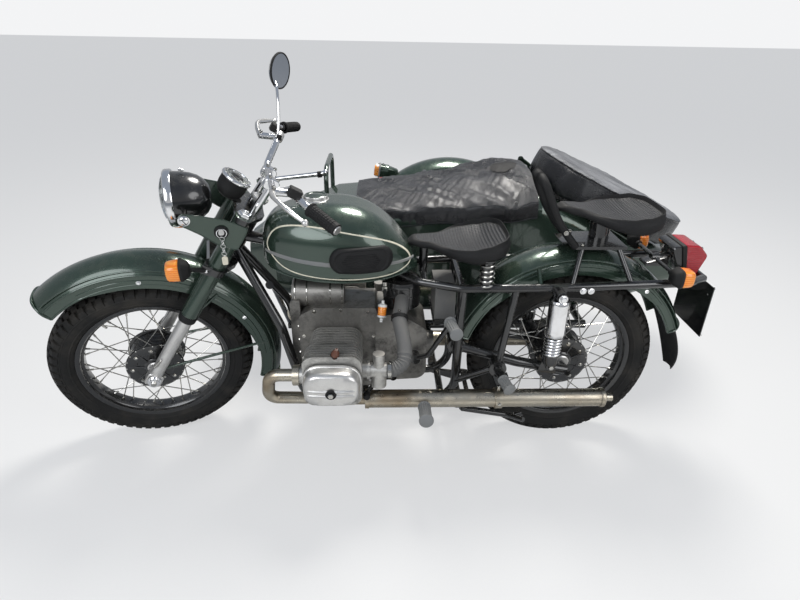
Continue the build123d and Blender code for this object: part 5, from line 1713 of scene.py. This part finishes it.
def makeFuelTap():
    form = Form()
    form.lathe(fuelTap["body"], "steelWire", aim(fuelTap["at"], (0, 0, -1)), 24)
    form.bar(*fuelTap["spindle"], fuelTap["spindleThick"], "steelWire")
    handle = aim(fuelTap["handleAt"], (0, 1, 0))
    form.slab(oblong(5, 14, 4), 0, fuelTap["handleThick"], "blackPlastic", handle, 1)
    place = aim(fuelTap["filterAt"], fuelTap["filterLean"])
    for part, skin in (("inlet", "whiteLens"), ("element", "orangeLens"), ("outlet", "whiteLens")):
        form.lathe(fuelTap[part], skin, place, 32)
    form.done("fuelTapFilter", "chassis", "cast_aluminium")


# Exhaust clamps, and the collars where the hoses meet the heads
clamps = {
    "y": 200, "z": 292, "places": (-30, -482, -846),
    "band": [(0.1, -7), (33, -7), (33.6, -5), (33.6, 5), (33, 7)],
    "boltX": -482, "boltY": 236, "lugFrom": 326, "lugTo": 344, "lug": 6,
    "collarAt": (118, 292, 430), "collar": [(20, -6), (24.5, -5), (24.5, 5), (20, 6)],
}


def makeExhaustClamps():
    form = Form()
    for side in (-1, 1):
        y, z = side * clamps["y"], clamps["z"]
        for x in clamps["places"]:
            form.lathe(clamps["band"], "sootedChrome", aim((x, y, z), (1, 0, 0)), 44)
        x = clamps["boltX"]
        form.bolt((x, side * clamps["boltY"], z), (0, side, 0), 5)
        start, end = (x, y, clamps["lugFrom"]), (x, y, clamps["lugTo"])
        form.bar(start, end, clamps["lug"], "steelWire")
        collarPlace = aim(onSide(clamps["collarAt"], side), (1, 0, 0))
        form.lathe(clamps["collar"], "castAluminium", collarPlace, 36)
    form.done("exhaustClamps", "chassis", "dull_chrome")


makeHeadCovers()
makePlugCaps()
makeCaseScrews()
makeCarburettorFittings()
makeIntake()
makeFuelTap()
makeExhaustClamps()
print("engine detailed")


def coilSpring(form, spring, skin, place, steps):
    # wire wound round Z from the spring's foot to its top
    count = spring["turns"] * 24
    path = []
    for n in range(count + 1):
        a = 2 * math.pi * spring["turns"] * n / count
        height = spring["from"] + (spring["to"] - spring["from"]) * n / count
        path.append((spring["wide"] * math.cos(a), spring["wide"] * math.sin(a), height))
    form.hose(path, spring["wire"], skin, place, steps, 1)


# Shocks: chrome upper cover, coil spring, black lower cup, rubber eyes
shock = {
    "x": -660, "y": 158, "eyes": (668, 402),
    "cover": [(12, 655), (30, 655), (33, 651), (33.4, 640), (32.6, 560), (33.6, 540), (33.6, 524),
              (31.5, 521), (30, 524)],
    "lid": [(30, 650), (0, 651)],
    "cup": [(10, 400), (24, 408), (27.5, 420), (27.5, 446), (25, 449), (16, 449)],
    "rod": [(0, 440), (13, 440), (13, 530), (0, 530)],
    "spring": {"turns": 6, "wide": 25.5, "from": 450, "to": 520, "wire": 5},
    "eye": [(0, -17), (15, -17), (17.5, -14), (17.5, 14), (15, 17), (0, 17)],
    "nut": [(0, 17), (10, 17), (10, 20), (8, 26), (0, 27)],
}


def makeShocks():
    form = Form()
    for side in (-1, 1):
        y = side * shock["y"]
        stand = bike @ Matrix.Translation((shock["x"], y, 0))
        form.lathe(shock["cover"], "chrome", stand, 44)
        form.lathe(shock["lid"], "chrome", stand, 44)
        form.lathe(shock["cup"], "blackEnamel", stand, 40)
        form.lathe(shock["rod"], "steelWire", stand, 28)
        coilSpring(form, shock["spring"], "chrome", stand, 12)
        for z in shock["eyes"]:
            eye = aim((shock["x"], y, z), (0, side, 0))
            form.lathe(shock["eye"], "blackEnamel", eye, 32)
            form.lathe(shock["nut"], "steelWire", eye, 6)
    form.done("shockPair", "chassis", "chrome", ["shocks"])


# Rear lamps: black housing with a red lens, and indicators on black arms
rearLamp = {
    "slabs": (("housing", 8, 57, "blackEnamel", 4), ("gasket", 5, 62, "blackPlastic", 2),
              ("lens", 11, 56, "redLens", 5), ("window", 3, 44, "whiteLens", 1),
              ("foot", 5, 26, "blackEnamel", 2)),  # drawing, corner, half width, finish, edge
    "housing": [(-1112, 688), (-1096, 694), (-1050, 786), (-1058, 798), (-1084, 800)],
    "gasket": [(-1118, 686), (-1106, 688), (-1078, 802), (-1092, 806)],
    "lens": [(-1150, 688), (-1114, 688), (-1088, 804), (-1142, 802), (-1178, 764)],
    "window": [(-1146, 683), (-1116, 683), (-1116, 690), (-1146, 690)],
    "foot": [(-1066, 716), (-984, 716), (-984, 726), (-1060, 752)],
    "bead": ((-1171, -40, 732), (-1171, 40, 732)), "screw": (-1163, 30, 784),
    "tie": ((-1078, 0, 744), (-1010, 0, 738)), "tieThick": 15,
    "armX": -1024, "armZ": 738, "armFrom": 8, "armTo": 152, "arm": 7.5,
    "collarY": 128, "collar": [(8, -6), (11, -5), (11, 5), (8, 6)], "indicatorAt": (-1030, 168, 738),
}


def makeRearLamps():
    form = Form()
    across = bike @ sideOn
    for part, corner, half, skin, edge in rearLamp["slabs"]:
        form.slab(rounded(rearLamp[part], corner), -half, half, skin, across, edge)
    form.bar(*rearLamp["bead"], 1.2, "redLens", steps=8, edge=0.3)
    form.bar(*rearLamp["tie"], rearLamp["tieThick"], "blackEnamel")
    for side in (-1, 1):
        x, z = rearLamp["armX"], rearLamp["armZ"]
        form.bolt(onSide(rearLamp["screw"], side), (-1, 0, 1), 4)
        start, end = (x, side * rearLamp["armFrom"], z), (x, side * rearLamp["armTo"], z)
        form.bar(start, end, rearLamp["arm"], "blackEnamel")
        collarPlace = aim((x, side * rearLamp["collarY"], z), (0, side, 0))
        form.lathe(rearLamp["collar"], "blackRubber", collarPlace, 24)
        indicator(form, aim(onSide(rearLamp["indicatorAt"], side), (-1, 0, 0)))
    form.done("rearLampSet", "chassis", "red_lens", ["rear_lamps"])


# Number plate, left blank, with a black border
plate = {"x": -1204, "z": 572, "wide": 200, "high": 190, "corner": 12, "border": 0.95, "borderThick": 1.4}


def makePlate():
    form = Form()
    outline = oblong(plate["wide"] / 2, plate["high"] / 2, plate["corner"])
    face = aim((plate["x"], 0, plate["z"]), (-1, 0, 0))
    form.slab(outline, -1, 1.2, "dialWhite", face, 0.6)
    border = [(x * plate["border"], y * plate["border"], 1.8) for x, y in outline[::2]]
    form.hose(border, plate["borderThick"], "blackPlastic", face, 8, 2, True)
    form.done("blankPlate", "chassis", "black_paint")


# Grab handle: a rubber loop that swells at its top, on a plate between the saddles
grabHandle = {
    "sillAt": (-716, 0, 804), "sillHalf": 42, "sillThick": 5,
    "bolts": ((-736, 66), (-700, 66)), "boltZ": 808, "sideBolt": (-672, 80, 854),
    "half": [(-716, 66, 800), (-676, 66, 848), (-640, 66, 900), (-614, 64, 952), (-594, 58, 996),
             (-584, 36, 1017)],
    "top": (-581, 0, 1022), "thick": 12.5, "swell": 2.5,
    "rings": 5, "ringGap": 6, "ringAt": (-581.6, 1021.6), "ringFall": 0.12,
    "ring": [(14.6, -1.2), (15.8, 0), (14.6, 1.2)],
}


def handleThick(t):
    return grabHandle["thick"] + grabHandle["swell"] * max(0, 1 - abs(t - 0.5) * 3.2) ** 0.5


def makeGrabHandle():
    form = Form()
    half = grabHandle["sillHalf"]
    sill = bike @ Matrix.Translation(grabHandle["sillAt"])
    form.slab(oblong(half, half, 10), 0, grabHandle["sillThick"], "blackEnamel", sill, 1)
    for side in (-1, 1):
        for x, y in grabHandle["bolts"]:
            form.bolt((x, side * y, grabHandle["boltZ"]), (0, 0, 1), 6)
        form.bolt(onSide(grabHandle["sideBolt"], side), (0, side, 0), 6)
    left = grabHandle["half"]
    loop = left + [grabHandle["top"]] + [(x, -y, z) for x, y, z in reversed(left)]
    form.hose(loop, handleThick, "blackRubber", fine=8, steps=24)
    x, z = grabHandle["ringAt"]
    for n in range(-grabHandle["rings"], grabHandle["rings"] + 1):
        spot = (x, n * grabHandle["ringGap"], z - abs(n) * grabHandle["ringFall"])
        form.lathe(grabHandle["ring"], "blackRubber", aim(spot, (0, 1, 0)), 28)
    form.done("grabHandle", "chassis", "black_rubber", ["grab_handle"])


# Saddle springs between their cups
saddleSpring = {
    "x": -420, "y": 118, "spring": {"turns": 5, "wide": 21.5, "from": 686, "to": 774, "wire": 4.6},
    "cups": ([(0, 676), (28, 676), (29, 678), (29, 682), (0, 684)],
             [(0, 776), (28, 776), (29, 778), (29, 781), (0, 782)]),
}


def makeSaddleSprings():
    form = Form()
    for side in (-1, 1):
        stand = bike @ Matrix.Translation((saddleSpring["x"], side * saddleSpring["y"], 0))
        coilSpring(form, saddleSpring["spring"], "steelWire", stand, 10)
        for cup in saddleSpring["cups"]:
            form.lathe(cup, "blackEnamel", stand, 32)
    form.done("saddleSprings", "chassis", "black_paint")


# Ribbed rubbers on the kick starter and the pegs, and a plain one on the brake pedal
kickRubber = {
    "ends": ((-300, 190, 588), (-312, 270, 588)), "steps": 56, "proud": 1.8,
    "head": [(-3, 4), (-2, 20), (3, 20), (5, 16)],
    "tail": [(-8, 16), (-6, 21), (0, 21), (2, 17), (2, 0.01)],
}
pegRubber = {
    "places": (((-222, 264, 306), (-222, 352, 318), 19), ((-488, 216, 383), (-502, 268, 375), 16)),
    "steps": 64, "proud": 1.6, "foot": (-1, 4), "tip": (3, 0.01),
    "head": [(0, 3), (4, 3), (6, 0)],  # radii over the peg's own
    "tail": [(-7, 0), (-5, 5), (0, 5), (3, 0)],
}
leverRubber = {"ends": ((-31, 244, 348), (-30, 270, 348)), "thick": 11.5}


def pedalRubber(form, start, end, rubber, head, tail):
    long = (end - start).length
    profile = head + [(long + z, r) for z, r in tail]
    ridged = (head[-1][0], long + tail[0][0])
    place = aim(start, end - start)
    flutedRubber(form, profile, ridged, rubber["proud"], "greyMoulding", place, rubber["steps"])


def makePedalRubbers():
    form = Form()
    start, end = (Vector(point) for point in kickRubber["ends"])
    pedalRubber(form, start, end, kickRubber, kickRubber["head"], kickRubber["tail"])
    for side in (-1, 1):
        for start, end, thick in pegRubber["places"]:
            head = [pegRubber["foot"]] + [(z, thick + r) for z, r in pegRubber["head"]]
            tail = [(z, thick + r) for z, r in pegRubber["tail"]] + [pegRubber["tip"]]
            pedalRubber(form, onSide(start, side), onSide(end, side), pegRubber, head, tail)
    form.bar(*leverRubber["ends"], leverRubber["thick"], "blackRubber", steps=24, edge=3)
    form.done("pedalRubbers", "chassis", "black_rubber")


# Frame bolts over the swing arm and the shocks
frameBolt = {"places": (-750, -724), "y": 172, "z": 692, "size": 8, "shockY": 184, "shockSize": 11}


def makeFrameBolts():
    form = Form()
    for side in (-1, 1):
        for x in frameBolt["places"]:
            form.bolt((x, side * frameBolt["y"], frameBolt["z"]), (0, side, 0), frameBolt["size"], "chrome")
        top = (shock["x"], side * frameBolt["shockY"], shock["eyes"][0])
        form.bolt(top, (0, side, 0), frameBolt["shockSize"], "chrome")
    form.done("frameBolts", "chassis", "black_paint")


# The rubber flap that narrows to a point behind the wheel
rearFlap = {
    "x": -1098, "back": 88, "bend": 1.45, "top": 552, "long": 262, "half": 82, "narrow": 0.66, "hollow": 10,
    "thick": 4, "rows": 24, "columns": 16, "bolt": (-1112, 44, 530),
}


def makeRearFlap():
    rows = []
    for number in range(rearFlap["rows"] + 1):
        t = number / rearFlap["rows"]
        x = rearFlap["x"] - rearFlap["back"] * math.sin(t * rearFlap["bend"]) / math.sin(rearFlap["bend"])
        z = rearFlap["top"] - rearFlap["long"] * t
        wide = rearFlap["half"] * (1 - t ** 3.2 * rearFlap["narrow"])
        shares = [2 * n / rearFlap["columns"] - 1 for n in range(rearFlap["columns"] + 1)]
        rows.append([(x + rearFlap["hollow"] * share ** 2, wide * share, z) for share in shares])
    behind = [[(x - rearFlap["thick"], y, z) for x, y, z in row] for row in rows]
    form = Form()
    form.grid(rows, "blackRubber").grid(behind, "blackRubber")
    for end in (0, -1):
        form.grid([[a[end], b[end]] for a, b in zip(rows, behind)], "blackRubber")
    form.grid([[a, b] for a, b in zip(rows[-1], behind[-1])], "blackRubber")
    for side in (1, -1):
        form.bolt(onSide(rearFlap["bolt"], side), (-1, 0, 0), 6)
    form.done("rearFlap", "chassis", "black_rubber", ["mud_flap"])


makeShocks()
makeRearLamps()
makePlate()
makeGrabHandle()
makeSaddleSprings()
makePedalRubbers()
makeFrameBolts()
makeRearFlap()
print("rear detailed")

# Sidecar lamp: green shell, pale rim, clear front and an orange side lens
sidecarLamp = {
    "at": (-116, -1140, 742), "way": (56, 0, 8),
    "shell": ((0.01, -52), (14, -52), (20, -44), (27, -10), (31, 22), (33, 42)),
    "rim": ((33, 41), (35.5, 42), (35.5, 49), (33, 50)),
    "front": ((33, 49), (32.5, 62), (29, 68), (20, 71), (0.01, 72)),
    "side": ((31, 50), (30, 66), (26, 73), (0.01, 74)), "sideGrown": 0.98, "sideOut": 4,
    "screw": (-92, -1140, 780),
}


def makeSidecarLamp():
    form = Form()
    place = aim(sidecarLamp["at"], sidecarLamp["way"])
    for part, skin in (("shell", "greenEnamel"), ("rim", "greyMoulding"), ("front", "whiteLens")):
        squareTurned(form, sidecarLamp[part], skin, place)
    out = sidecarLamp["sideOut"]
    rows = [[(x * r, abs(y) * r + out, z) for x, y in squircle()] for r, z in sidecarLamp["side"]]
    sidePlace = place @ quarter("Z", -1) @ Matrix.Scale(sidecarLamp["sideGrown"], 4)
    form.grid(rows, "orangeLens", sidePlace, ring=True)
    form.bolt(sidecarLamp["screw"], (0, 0, 1), 4)
    form.done("sidecarLampShell", "chassis", "green_paint")


# Windscreen rail: chrome rail over a painted post, with clamps and grommets
screenRail = {
    "line": [(150, -556, 884), (152, -548, 888), (170, -541, 881), (300, -550, 862), (430, -559.6, 843.5)],
    "thick": 9.6, "along": (290, -20, -38),
    "clamps": ((176, -541.8, 877), (424, -558.9, 844.5)), "clamp": [(9.6, -9), (13, -8), (13, 8), (9.6, 9)],
    "grommets": ((150, -850, 722), (150, -540, 722)),
    "grommet": [(0.1, 0), (21, 0), (22, 2), (20, 5), (13, 9), (12, 12)],
}


def makeRailFittings():
    form = Form()
    form.hose(screenRail["line"], screenRail["thick"], "chrome", fine=8, steps=18)
    for spot in screenRail["clamps"]:
        form.lathe(screenRail["clamp"], "blackRubber", aim(spot, screenRail["along"]), 28)
    for spot in screenRail["grommets"]:
        form.lathe(screenRail["grommet"], "blackRubber", aim(spot, (0, 0, 1)), 32)
    form.done("railFittings", "chassis", "green_paint")


# Pressed seam along both sides of the hull
hullSeam = {
    "from": -1120, "to": 620, "gap": 30, "y": -690, "outside": 500, "high": 560, "rise": 0.12, "thick": 3.2,
    "proud": 0.6,
}


def makeHullSeam():
    form = Form()
    hullSkin = skinOf("sidecar_body")
    for side in (-1, 1):
        seam = []
        for x in range(hullSeam["from"], hullSeam["to"] + 1, hullSeam["gap"]):
            z = hullSeam["high"] + max(0, x) * hullSeam["rise"]
            start = at(x, hullSeam["y"] + side * hullSeam["outside"], z)
            hit, normal = hullSkin.ray_cast(start, Vector((0, -side, 0)))[:2]
            if hit is not None and abs(normal.y) > 0.3:
                seam.append((hit - zero) * 1000 + Vector((0, side * hullSeam["proud"], 0)))
        form.hose(seam, hullSeam["thick"], "greenEnamel", fine=2, steps=8)
    form.done("hullSeam", "chassis", "green_paint")


makeSidecarLamp()
makeRailFittings()
makeHullSeam()
print("sidecar detailed")
